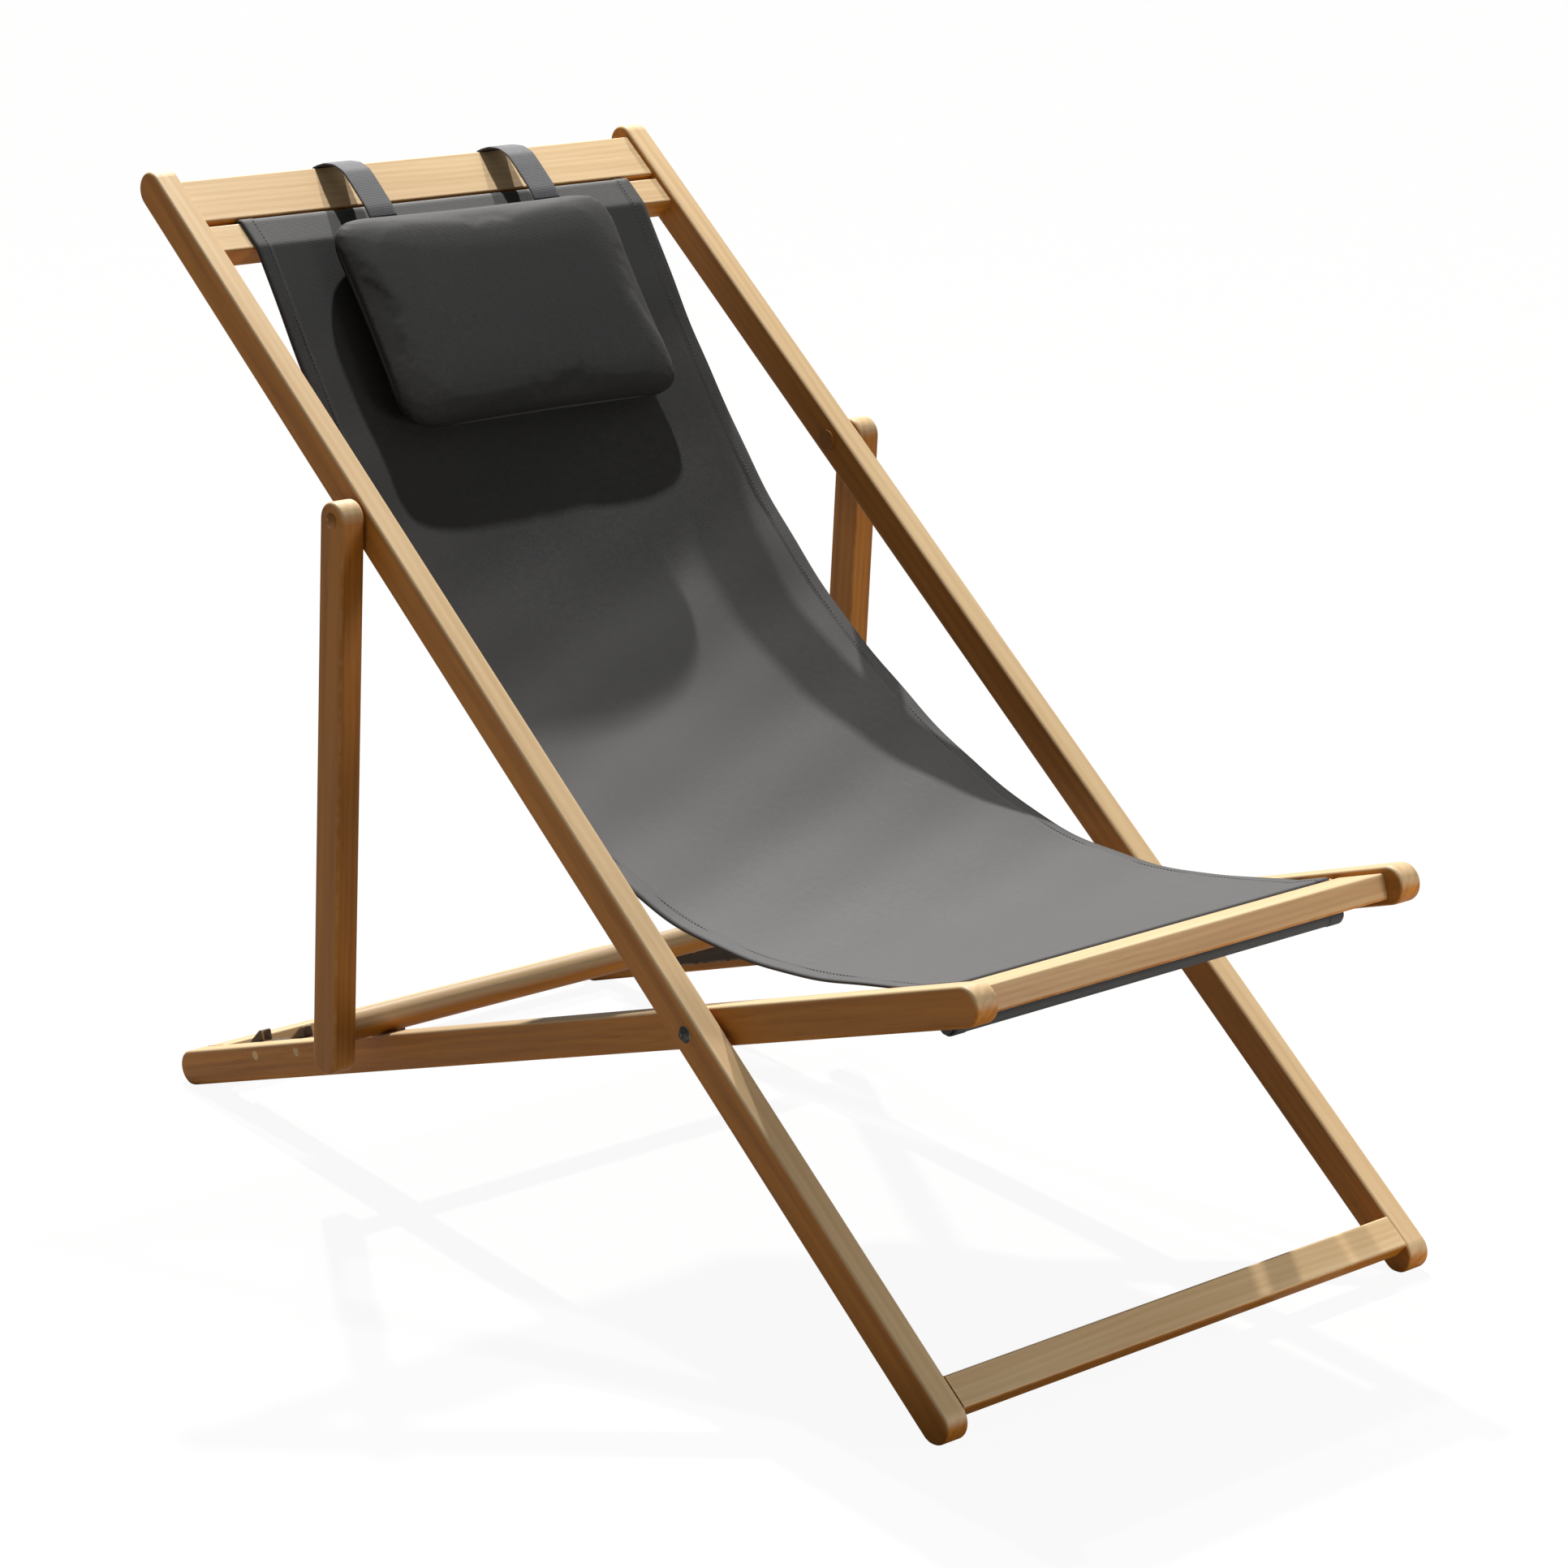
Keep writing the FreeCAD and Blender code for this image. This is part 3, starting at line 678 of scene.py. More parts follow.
class FinishBook:
    """Every finish of the chair, made once."""

    def __init__(self, lines: ChairLines, pillow_turn: tuple) -> None:
        """Make the shared groups and the plain finishes.

        Args:
            lines: the chair's side frames.
            pillow_turn: (centre, tilt) of the pillow's own flat view.
        """
        self.lines = lines
        self.groups = EffectGroups()
        make = self.groups
        self.bolt = BlackenedMetal("bolt_black_zinc").make(make)
        self.bronze = BlackenedMetal("fitting_bronze_lacquer", (0.30, 0.105, 0.014, 1),
                                     (0.40, 0.19, 0.05, 1), 0.5, 0.15).make(make)
        self.washer = BlackenedMetal("washer_zinc", grey(0.30, 0.31), grey(0.55, 0.56), 0.42).make(make)
        self.stud = BlackenedMetal("stud_satin", grey(0.02, 0.021), (0.25, 0.24, 0.23, 1), 0.32).make(make)
        self.rod = BlackRod().make(make)
        # The sling and hem are painted darker where they are seen face on: painted sheen.
        mesh = {"pitch": 0.0016, "gloss": 0.62, "rough": 0.74, "painted_sheen_depth": 0.7}
        soft = {"pitch": 0.0011, "relief": 0.0002, "turned": pillow_turn}
        self.sling = WovenCloth("sling_mesh", grey(0.042), grey(0.014), **mesh).make(make)
        self.hem = WovenCloth("sling_hem", grey(0.036), grey(0.012), **mesh).make(make)
        self.thread = WovenCloth("sewing_thread", grey(0.07, 0.072), grey(0.03, 0.031),
                                 pitch=0.0006, rough=0.6).make(make)
        self.webbing = WovenCloth("strap_webbing", (0.115, 0.116, 0.125, 1), grey(0.04, 0.044),
                                  pitch=0.0019, relief=0.0005).make(make)
        # The pillow's faces that look down are darkened: painted shade.
        self.pillow = WovenCloth("pillow_cloth", grey(0.030), grey(0.011), rough=0.72, sheen=0.02,
                                 under=0.85, **soft).make(make)
        self.piping = WovenCloth("pillow_piping", grey(0.036, 0.037), grey(0.014, 0.015), **soft).make(make)

    def timber(self, node: str, side: SideFrame | None, number: int, tone: float = 1.0,
               shades: tuple = (OiledTimber.light, OiledTimber.dark, OiledTimber.lit_top_paint),
               ) -> bpy.types.Material:
        """Make one timber piece's own finish.

        Args:
            node: the CAD node.
            side: the side frame that its grain follows, or None for a piece along X.
            number: picks the pattern's place.
            tone: brightness of this piece against the others.
            shades: its pale and dark colours, and the paler colour of faces that look up, which is painted
                light.

        Returns:
            The material.
        """
        lo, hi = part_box(node)
        rng = np.random.default_rng(100 + number)
        shift = tuple(float(v) for v in rng.uniform([-3, -0.02, -0.02], [3, 0.02, 0.02]))
        light, dark = ((*(min(1.0, tone * c) for c in shade[:3]), 1.0) for shade in shades[:2])
        return OiledTimber("timber_" + node, tuple((lo + hi) / 2), side and side.angle, shift,
                           light, dark, shades[2]).make(self.groups)


def dress(node: str, material: bpy.types.Material) -> None:
    """Give a CAD node one material through its own slots."""
    piece = frame["nodes"][node]
    if not piece.material_slots:
        piece.data.materials.append(material)
    for slot in piece.material_slots:
        slot.material = material


# ---------------------------------------------------------------- sub-assemblies
@dataclass
class TimberFrames:
    """The three timber frames, their boards and bars: CAD shapes with a grain for each piece."""

    book: FinishBook

    def dress(self) -> int:
        """Dress every timber node and return how many there are."""
        lines = self.book.lines
        along = {kind + side: frame_line for side in SIDES for kind, frame_line in
                 (("back_rail_", lines.back), ("seat_rail_", lines.seat), ("prop_leg_", lines.prop))}
        along.update(dict.fromkeys(("head_board", "head_rail", "foot_bar", "front_board", "front_rail",
                                    "rear_bar", "prop_bar")))
        tones = {"prop_leg_left": 0.92, "foot_bar": 0.9, "rear_bar": 0.9, "head_board": 1.08,
                 "prop_leg_right": 0.95}
        for number, (node, side) in enumerate(sorted(along.items())):
            dress(node, self.book.timber(node, side, number, tones.get(node, 1.0)))
        return len(along)


@dataclass
class NotchRacks:
    """Dark toothed strips and the pale dowels that hold them.

    Args:
        book: the finishes.
        strip: the strips' pale and dark colours, and the colour of their faces that look up, which is
            painted light.
        peg: the dowels' own.
    """

    book: FinishBook
    # The third colour of each is painted light, given to faces that look up.
    strip: tuple = ((0.060, 0.032, 0.014), (0.022, 0.011, 0.005), (0.060, 0.032, 0.014, 1.0))
    peg: tuple = ((0.62, 0.43, 0.20), (0.42, 0.26, 0.10), (0.62, 0.43, 0.20, 1.0))

    def dress(self) -> int:
        """Dress the strips along the seat rails and the dowels across them; return the count."""
        pieces = [("rack_" + side, self.book.lines.seat, 30 + k, self.strip) for k, side in enumerate(SIDES)]
        pieces += [("rack_dowel_%s_%d" % (side, j), None, 40 + 3 * k + j, self.peg)
                   for k, side in enumerate(SIDES) for j in (1, 2, 3)]
        for node, line, number, shades in pieces:
            dress(node, self.book.timber(node, line, number, shades=shades))
        return len(pieces)


@dataclass
class PivotFittings:
    """Bolts, spacers, washers and nuts at the two pivots of each side.

    Args:
        book: the finishes.
        socket_af: the recess's size across its flats.
    """

    book: FinishBook
    socket_af: float = 0.005

    def dress(self) -> int:
        """Dress the fittings and set a small hexagon recess into each bolt head; return the count."""
        book, count = self.book, 0
        finishes = {"seat_pivot_bolt_": book.bolt, "seat_pivot_nut_": book.bolt,
                    "prop_pivot_bolt_": book.bronze, "prop_pivot_nut_": book.bronze,
                    "seat_pivot_spacer_": book.washer, "prop_pivot_spacer_": book.washer,
                    "seat_pivot_washer_": book.washer}
        for side, way in zip(SIDES, (-1.0, 1.0)):
            for node, finish in finishes.items():
                dress(node + side, finish)
            # The seat bolts' recesses take the rod's matt black, darker than the bolt: painted shade in the
            # recess. The prop bolts' keep the bronze.
            for kind, finish in (("seat", book.rod), ("prop", book.bronze)):
                self.socket("%s_bolt_socket_%s" % (kind, side), "%s_pivot_bolt_%s" % (kind, side),
                            way, finish)
            count += len(finishes) + 2
        return count

    def socket(self, name: str, bolt: str, way: float, finish: bpy.types.Material) -> None:
        """Build the six-sided recess in a bolt head.

        Rings of six points: a rim on the dome, a wall going in and a floor, each ring the
        hexagon's circle times its own share, at its own depth.

        Args:
            name: the new piece's name.
            bolt: the CAD bolt it sits in.
            way: +1 on the right side, -1 on the left.
            finish: its material.
        """
        lo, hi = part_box(bolt)
        face = hi.x if way > 0 else lo.x
        y, z = (lo.y + hi.y) / 2, (lo.z + hi.z) / 2
        angle = np.radians(60.0 * np.arange(6) + 12.0)
        radius = self.socket_af / math.sqrt(3.0) * np.array([1.22, 1.10, 1.0, 0.92, 0.05])
        out = np.array([-0.00038, 0.00012, 0.00010, -0.00012, -0.00012])
        pts = np.stack([np.broadcast_to((face + way * out)[:, None], (5, 6)),
                        y + radius[:, None] * np.cos(angle), z + radius[:, None] * np.sin(angle)], -1)
        faces = grid_faces(5, 6, wrap_cols=True).tolist() + [[24, 25, 26, 27, 28, 29]]
        turned = faces if way > 0 else [f[::-1] for f in faces]
        piece = new_piece(name, pts, turned, smooth=False)
        piece.data.materials.append(finish)
        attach(piece, "back_frame")


@dataclass
class SlingSeat:
    """The hanging fabric: one sheet from hem to hem with sewn side hems, and its two rods.

    Args:
        book: the finishes.
        sags: sizes of the four sines of the hang: its depth, its skew and two corrections.
        thick: thickness of the single cloth.
        hem_wide: width of the folded side hems.
        hem_thick: thickness there.
        loop_gap: air between the rod and the hem round it.
        bend: radius where the cloth turns over a rail.
        across: points across the cloth.
        along: points along it.
        edge_rise: how far the side edges lift.
        edge_from: the share of the half width where that starts.
    """

    book: FinishBook
    sags: tuple = (0.191, -0.017, 0.0094, -0.0032)
    thick: float = 0.0011
    hem_wide: float = 0.016
    hem_thick: float = 0.0021
    loop_gap: float = 0.00035
    bend: float = 0.0030
    across: int = 97
    along: int = 420
    edge_rise: float = 0.0025
    edge_from: float = 0.86

    def __post_init__(self) -> None:
        """Read the boards, the slots and the rods from the CAD."""
        lines = self.book.lines
        head_lo, head_hi = lines.span("head_rail", lines.back)
        front_lo, front_hi = lines.span("front_rail", lines.seat)
        board_lo = lines.span("head_board", lines.back)[0]
        board_hi = lines.span("front_board", lines.seat)[1]
        rod_lo, rod_hi = lines.span("head_hem_rod", lines.back)
        rod2_lo, rod2_hi = lines.span("front_hem_rod", lines.seat)
        self.rail_top = head_hi[1]
        self.head_edge, self.head_slot = head_lo[0], (head_hi[0] + board_lo[0]) / 2
        self.front_edge, self.front_slot = front_hi[0], (front_lo[0] + board_hi[0]) / 2
        self.head_rod = (rod_lo + rod_hi) / 2
        self.front_rod = (rod2_lo + rod2_hi) / 2
        self.rod_r = (rod_hi[1] - rod_lo[1]) / 2
        lo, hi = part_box("sling")
        self.half = (hi.x - lo.x) / 2
        self.cloth_w = self.rail_top + 0.0016

    def hang(self, t: np.ndarray) -> np.ndarray:
        """Return the hanging line: the straight line plus a sum of four sines square to it."""
        lines = self.book.lines
        a = lines.back.at(self.head_edge, self.cloth_w)
        b = lines.seat.at(self.front_edge, self.cloth_w)
        d = b - a
        n = np.array([d[1], -d[0]]) / np.linalg.norm(d)
        n = -n if n[1] > 0 else n
        k = np.arange(1, 5)[:, None]
        depth = (np.array(self.sags)[:, None] * np.sin(k * math.pi * t[None, :])).sum(0)
        return a + d * t[:, None] + n * depth[:, None]

    def end_loop(self, slot: float, rod: np.ndarray, edge: float, way: float) -> np.ndarray:
        """Return one end of the cloth in its side frame: from its cut edge round the rod to the rail.

        The cloth starts inside the slot, opens round the rod's circle, comes back up the slot,
        bends over the rail's rounded edge and lies along it.

        Args:
            slot: the slot's u.
            rod: the rod's centre.
            edge: the u where the hanging part starts.
            way: +1 if the rail lies at larger u than the slot, else -1.

        Returns:
            Points (u, w) in order from the cut edge.
        """
        r = self.rod_r + self.loop_gap + self.thick / 2
        half = self.thick * 0.62
        mouth = rod[1] + r + 0.0022
        loop = arc(rod[0], rod[1], r, 48.0, -228.0, 40)
        if way < 0:
            loop[:, 0] = 2 * rod[0] - loop[:, 0]
        turn = arc(slot + way * (self.bend + half * 0.2), self.cloth_w - self.bend, self.bend,
                   180.0 if way > 0 else 0.0, 90.0, 7)
        start = [[slot + way * half, self.rail_top - 0.008], [slot + way * half, mouth]]
        back = [[slot - way * half, mouth], [slot + way * half * 0.2, -0.003]]
        return np.concatenate([start, loop, back, turn, [[edge - way * 0.006, self.cloth_w]]])

    def path(self) -> tuple[np.ndarray, float, float]:
        """Return the whole cloth line in (y, z), and its shares where the hang starts and ends."""
        lines = self.book.lines
        head = self.end_loop(self.head_slot, self.head_rod, self.head_edge, -1.0)
        front = self.end_loop(self.front_slot, self.front_rod, self.front_edge, 1.0)
        head_yz = lines.back.at(head[:, 0], head[:, 1])
        front_yz = lines.seat.at(front[:, 0], front[:, 1])[::-1]
        total = np.concatenate([head_yz, self.hang(np.linspace(0.0, 1.0, 160)), front_yz])
        whole = line_length(total)
        return total, line_length(head_yz) / whole, 1.0 - line_length(front_yz) / whole

    def build(self) -> bpy.types.Object:
        """Build the sheet as a closed thin shell and return it.

        A point of the middle surface is the line's point at its share, with x straight across;
        near the side edges the cloth thickens over the hem's width and lifts by the square of
        the nearness to the edge. The two faces stand half the thickness either side along the
        line's own normal.
        """
        line, share_a, share_b = self.path()
        pts = smooth_steps(line, self.along)
        normal = line_normals(pts)
        length = line_length(line)
        s = np.linspace(-1.0, 1.0, self.across)
        inner = (self.half - self.hem_wide) / self.half
        folds = [way * inner + step for way in (-1, 1) for step in (-0.002, 0.002)]
        s = np.unique(np.concatenate([s, folds]))
        x = s * self.half
        v = np.linspace(0.0, length, self.along)
        share = np.linspace(0.0, 1.0, self.along)
        free = np.clip((share - share_a) / 0.12, 0, 1) * np.clip((share_b - share) / 0.12, 0, 1)
        free = free * free * (3 - 2 * free)
        edge = self.near_edge(s)
        wave = 0.0006 * np.sin(v[:, None] * 37.0 + 1.3) * np.cos(x[None, :] * 11.0)
        wave = wave + 0.0005 * np.sin(v[:, None] * 61.0 + x[None, :] * 23.0)
        lift = free[:, None] * (self.edge_rise * edge[None, :] + wave)
        double = np.abs(s) > inner
        half_t = np.where(double, self.hem_thick, self.thick)[None, :] / 2
        faces_yz = [pts[:, None, :] + normal[:, None, :] * (lift - sign * half_t)[..., None]
                    for sign in (1.0, -1.0)]
        piece = thin_shell("sling_cloth", x, v, faces_yz)
        piece.data.materials.append(self.book.sling)
        piece.data.materials.append(self.book.hem)
        centre = np.zeros(len(piece.data.polygons) * 3, np.float32)
        piece.data.polygons.foreach_get("center", centre)
        in_hem = np.abs(centre.reshape(-1, 3)[:, 0]) > self.half - self.hem_wide
        piece.data.polygons.foreach_set("material_index", in_hem.astype(np.int32))
        self.lines_for_seams = (pts, normal, free, v)
        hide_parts("sling")
        self.follow(piece)
        LOG.info("sling_cloth %.3f x %.3f m, hem to hem", 2 * self.half, length)
        return piece

    def near_edge(self, s: np.ndarray) -> np.ndarray:
        """Return how near each share of the half width is to a side edge, squared, 0 to 1."""
        return np.clip((np.abs(s) - self.edge_from) / (1.0 - self.edge_from), 0, 1) ** 2

    def follow(self, piece: bpy.types.Object) -> None:
        """Bake a piece of the sling's placement into its points."""
        ends = self.hang(np.array([0.0, 1.0]))
        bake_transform(piece)

    def stitches(self) -> None:
        """Sew each side hem: short raised stitches in one row along the hem's inner fold.

        A stitch is a six-sided spindle: its radius is the thread's times the root of the sine of
        its share along, and its line follows the cloth's top face.
        """
        pts, normal, free, v = self.lines_for_seams
        pitch, run, radius, clear = 0.0042, 0.0031, 0.00042, 0.075
        starts = np.arange(clear, v[-1] - clear, pitch)
        share = np.linspace(0.0, 1.0, 5)
        angle = np.radians(60.0 * np.arange(6))
        along = starts[:, None] + run * share[None, :]
        y, z, ny, nz = (np.interp(along, v, k) for k in (*pts.T, *normal.T))
        swell = radius * np.sqrt(np.clip(np.sin(math.pi * share), 0.02, 1.0))
        base = 30 * np.arange(len(starts))[:, None]
        walls = (grid_faces(5, 6, wrap_cols=True)[None] + base[..., None]).reshape(-1, 4)
        caps = np.concatenate([base + np.arange(6)[None, ::-1], base + 24 + np.arange(6)[None, :]])
        for name, side in zip(SIDES, (-1.0, 1.0)):
            x0 = side * (self.half - self.hem_wide + 0.0022)
            rise = self.edge_rise * self.near_edge(np.array(x0 / self.half))
            lift = np.interp(along, v, free) * rise - self.hem_thick / 2 - 0.0001
            ring_x = x0 + swell[None, :, None] * np.cos(angle)
            ring_n = lift[..., None] + swell[None, :, None] * np.sin(angle)
            points = np.stack([np.broadcast_to(ring_x, ring_n.shape), y[..., None] + ny[..., None] * ring_n,
                               z[..., None] + nz[..., None] * ring_n], -1)
            piece = new_piece("hem_stitches_" + name, points, walls.tolist() + caps.tolist())
            give_uv(piece, points.reshape(-1, 3)[:, :2])
            piece.data.materials.append(self.book.thread)
            fix_normals(piece)
            self.follow(piece)

    def dress_rods(self) -> None:
        """Dress the two rods in the hems."""
        dress("head_hem_rod", self.book.rod)
        dress("front_hem_rod", self.book.rod)


@dataclass
class HeadPillow:
    """The box-shaped head pillow and its seam cord.

    Args:
        book: the finishes.
        centre: its middle.
        tilt: its turn about X, in radians.
        size: its size across, along and through.
        start_in: how much smaller the pad starts before it swells.
        cap: the furthest that a point may move while it swells.
        frames: the length of the simulation.
        voxel: the even mesh size that it swells with.
        keep: the share of the movement that is kept.
        corner: the power on sine and cosine that squares the outline's corners.
        shrink: the power of the cosine by which the rings grow smaller towards the faces.
        shoulder: the power of the sine that sets the rings' heights.
        draw_in: how far the ends and the long sides are drawn in at their middles, as shares.
    """

    book: FinishBook
    centre: np.ndarray
    tilt: float
    size: tuple[float, float, float]
    start_in: float = 0.005
    cap: float = 0.0075
    frames: int = 20
    voxel: float = 0.005
    keep: float = 0.45
    corner: float = 2 / 9
    shrink: float = 0.34
    shoulder: float = 0.80
    draw_in: tuple[float, float] = (0.010, 0.012)

    @staticmethod
    def measure() -> tuple[np.ndarray, float, tuple[float, float, float]]:
        """Find the CAD pillow's centre, tilt and size.

        The tilt is the turn about X that makes the pillow's side view smallest.

        Returns:
            Its centre, its tilt in radians and its size across, along and through.
        """
        co = get_points(frame["nodes"]["pillow"])
        angles = np.radians(np.linspace(20.0, 80.0, 1201))
        along = co[:, 1, None] * np.cos(angles) + co[:, 2, None] * np.sin(angles)
        through = co[:, 2, None] * np.cos(angles) - co[:, 1, None] * np.sin(angles)
        area = np.ptp(along, axis=0) * np.ptp(through, axis=0)
        k = int(area.argmin())
        a = angles[k]
        mid = [(m[:, k].min() + m[:, k].max()) / 2 for m in (along, through)]
        centre = np.array([0.0, mid[0] * math.cos(a) - mid[1] * math.sin(a),
                           mid[0] * math.sin(a) + mid[1] * math.cos(a)])
        size = (float(np.ptp(co[:, 0])), float(np.ptp(along[:, k])), float(np.ptp(through[:, k])))
        return centre, float(a), size

    def to_row(self, p: np.ndarray) -> np.ndarray:
        """Move points from the pillow's own axes to the row frame: turn about X, then shift."""
        c, s = math.cos(self.tilt), math.sin(self.tilt)
        y, z = p[..., 1] * c - p[..., 2] * s, p[..., 1] * s + p[..., 2] * c
        return np.stack([p[..., 0], y, z], -1) + self.centre

    def narrowed(self, x: np.ndarray, y: np.ndarray) -> tuple[np.ndarray, np.ndarray]:
        """Draw points in towards the middles of the sides, by a squared cosine along each side."""
        u, v = x / (self.size[0] / 2), y / (self.size[1] / 2)
        return (x * (1.0 - self.draw_in[0] * np.cos(v * math.pi / 2) ** 2),
                y * (1.0 - self.draw_in[1] * np.cos(u * math.pi / 2) ** 2))

    def pad_points(self, rows: int = 41, cols: int = 128) -> tuple[np.ndarray, list]:
        """Return the pad's points and faces in its own axes.

        Each ring is a rounded rectangle: cosine and sine of the turn, raised to the corner
        power. Its half sides shrink by a power of the cosine of the ring's angle while its
        height goes by a power of the sine. A point closes each end.
        """
        w, l, t = (k / 2 - self.start_in for k in self.size)
        phi = np.linspace(-math.pi / 2, math.pi / 2, rows)[1:-1, None]
        theta = np.linspace(0.0, 2 * math.pi, cols, endpoint=False)[None, :]
        ring = signed_power(np.cos(phi), self.shrink)
        x = w * ring * signed_power(np.cos(theta), self.corner)
        y = l * ring * signed_power(np.sin(theta), self.corner)
        pts = np.stack([x, y, t * signed_power(np.sin(phi), self.shoulder) * np.ones_like(x)], -1)
        faces = grid_faces(pts.shape[0], cols, wrap_cols=True)
        n = pts.shape[0] * cols
        poles = np.array([[0.0, 0.0, -t], [0.0, 0.0, t]])
        j = np.arange(cols)
        bottom = np.stack([np.full(cols, n), (j + 1) % cols, j], -1)
        top = np.stack([np.full(cols, n + 1), n - cols + j, n - cols + (j + 1) % cols], -1)
        return np.concatenate([pts.reshape(-1, 3), poles]), faces.tolist() + bottom.tolist() + top.tolist()

    def build(self) -> bpy.types.Object:
        """Build the pad, swell it as cloth, sew on the seam cord and return the pad."""
        points, faces = self.pad_points()
        pad = new_piece("head_pillow", self.to_row(points), faces)
        fix_normals(pad)
        self.swell(pad)
        self.settle(pad)
        pad.data.materials.clear()
        pad.data.materials.append(self.book.pillow)
        smooth = pad.modifiers.new("fine", "SUBSURF")
        smooth.levels = smooth.render_levels = 1
        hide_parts("pillow")
        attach(pad, "back_frame")
        self.seam_cord()
        LOG.info("head_pillow %.3f x %.3f x %.3f m", *self.size)
        return pad

    def swell(self, pad: bpy.types.Object) -> None:
        """Swell the pad with a short cloth simulation and keep no point further than the cap."""
        bpy.context.view_layer.objects.active = pad
        pad.select_set(True)
        remesh = pad.modifiers.new("even", "REMESH")
        remesh.mode, remesh.voxel_size = "VOXEL", self.voxel
        bpy.ops.object.modifier_apply(modifier=remesh.name)
        before = get_points(pad)
        cloth = pad.modifiers.new("cloth", "CLOTH")
        st = cloth.settings
        st.quality, st.mass = 6, 0.25
        st.use_pressure, st.uniform_pressure_force = True, 4.0
        st.tension_stiffness = st.compression_stiffness = 18.0
        st.shear_stiffness, st.bending_stiffness = 9.0, 2.0
        st.effector_weights.gravity = 0.0
        cloth.collision_settings.use_collision = False
        scene = bpy.context.scene
        scene.frame_start, scene.frame_end = 1, self.frames
        for number in range(1, self.frames + 1):
            scene.frame_set(number)
        bpy.context.view_layer.update()
        bpy.ops.object.modifier_apply(modifier=cloth.name)
        scene.frame_set(1)
        move = get_points(pad) - before
        far = np.linalg.norm(move, axis=1)[:, None]
        move *= self.keep * np.minimum(1.0, self.cap / np.maximum(far, 1e-9))
        set_points(pad, before + move)
        pad.select_set(False)
        LOG.info("pillow swelled, furthest move %.1f mm", 1000 * float(far.max()))

    def settle(self, pad: bpy.types.Object) -> None:
        """Press the pad into its CAD box: flat where it lies on the sling, crowned at the front.

        In the pillow's own axes a point past the box's side is brought back to it, and the
        sides are drawn in between the corners by the square of the distance from the corner.
        """
        p = get_points(pad) - self.centre
        c, s = math.cos(self.tilt), math.sin(self.tilt)
        q = np.stack([p[:, 0], p[:, 1] * c + p[:, 2] * s, p[:, 2] * c - p[:, 1] * s], -1)
        half = np.array(self.size) / 2
        span = np.abs(q).max(0)
        q[:, 0] *= half[0] / span[0]
        q[:, 1] *= half[1] / span[1]
        u, v = q[:, 0] / half[0], q[:, 1] / half[1]
        crown = np.cos(u * math.pi / 2 * 0.94) ** 0.5 * np.cos(v * math.pi / 2 * 0.94) ** 0.5
        front = q[:, 2] > 0
        top = q[front, 2].max()
        q[front, 2] *= (half[2] / top) * (0.85 + 0.15 * crown[front])
        q[~front, 2] *= half[2] / abs(q[~front, 2].min())
        q[:, 2] = np.maximum(q[:, 2], -half[2] + 0.0002)
        q[:, 0], q[:, 1] = self.narrowed(q[:, 0], q[:, 1])
        set_points(pad, self.to_row(q))

    def seam_cord(self) -> None:
        """Run a thin sewn cord round the pad's widest line.

        Its line is the pad's own outline at mid thickness, drawn in as the pad's sides are. A
        circle of eight points is carried along it.
        """
        count, radius = 240, 0.0016
        theta = np.linspace(0.0, 2 * math.pi, count, endpoint=False)
        x = self.size[0] / 2 * signed_power(np.cos(theta), self.corner)
        y = self.size[1] / 2 * signed_power(np.sin(theta), self.corner)
        ring = np.stack(self.narrowed(x, y), -1)
        closed = np.concatenate([ring, ring[:1]])
        ring = smooth_steps(closed, count + 1)[:-1]
        step = np.roll(ring, -1, 0) - np.roll(ring, 1, 0)
        step /= np.linalg.norm(step, axis=1)[:, None]
        out = np.stack([step[:, 1], -step[:, 0]], -1)
        a = np.radians(45.0 * np.arange(8))
        xy = ring[:, None, :] + out[:, None, :] * (radius * np.cos(a)[None, :, None] - radius * 0.75)
        z = np.broadcast_to(radius * np.sin(a)[None, :, None], xy.shape[:2] + (1,))
        points = self.to_row(np.concatenate([xy, z], -1))
        cord = new_piece("pillow_seam", points, grid_faces(count, 8, True, True))
        fix_normals(cord)
        cord.data.materials.append(self.book.piping)
        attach(cord, "back_frame")


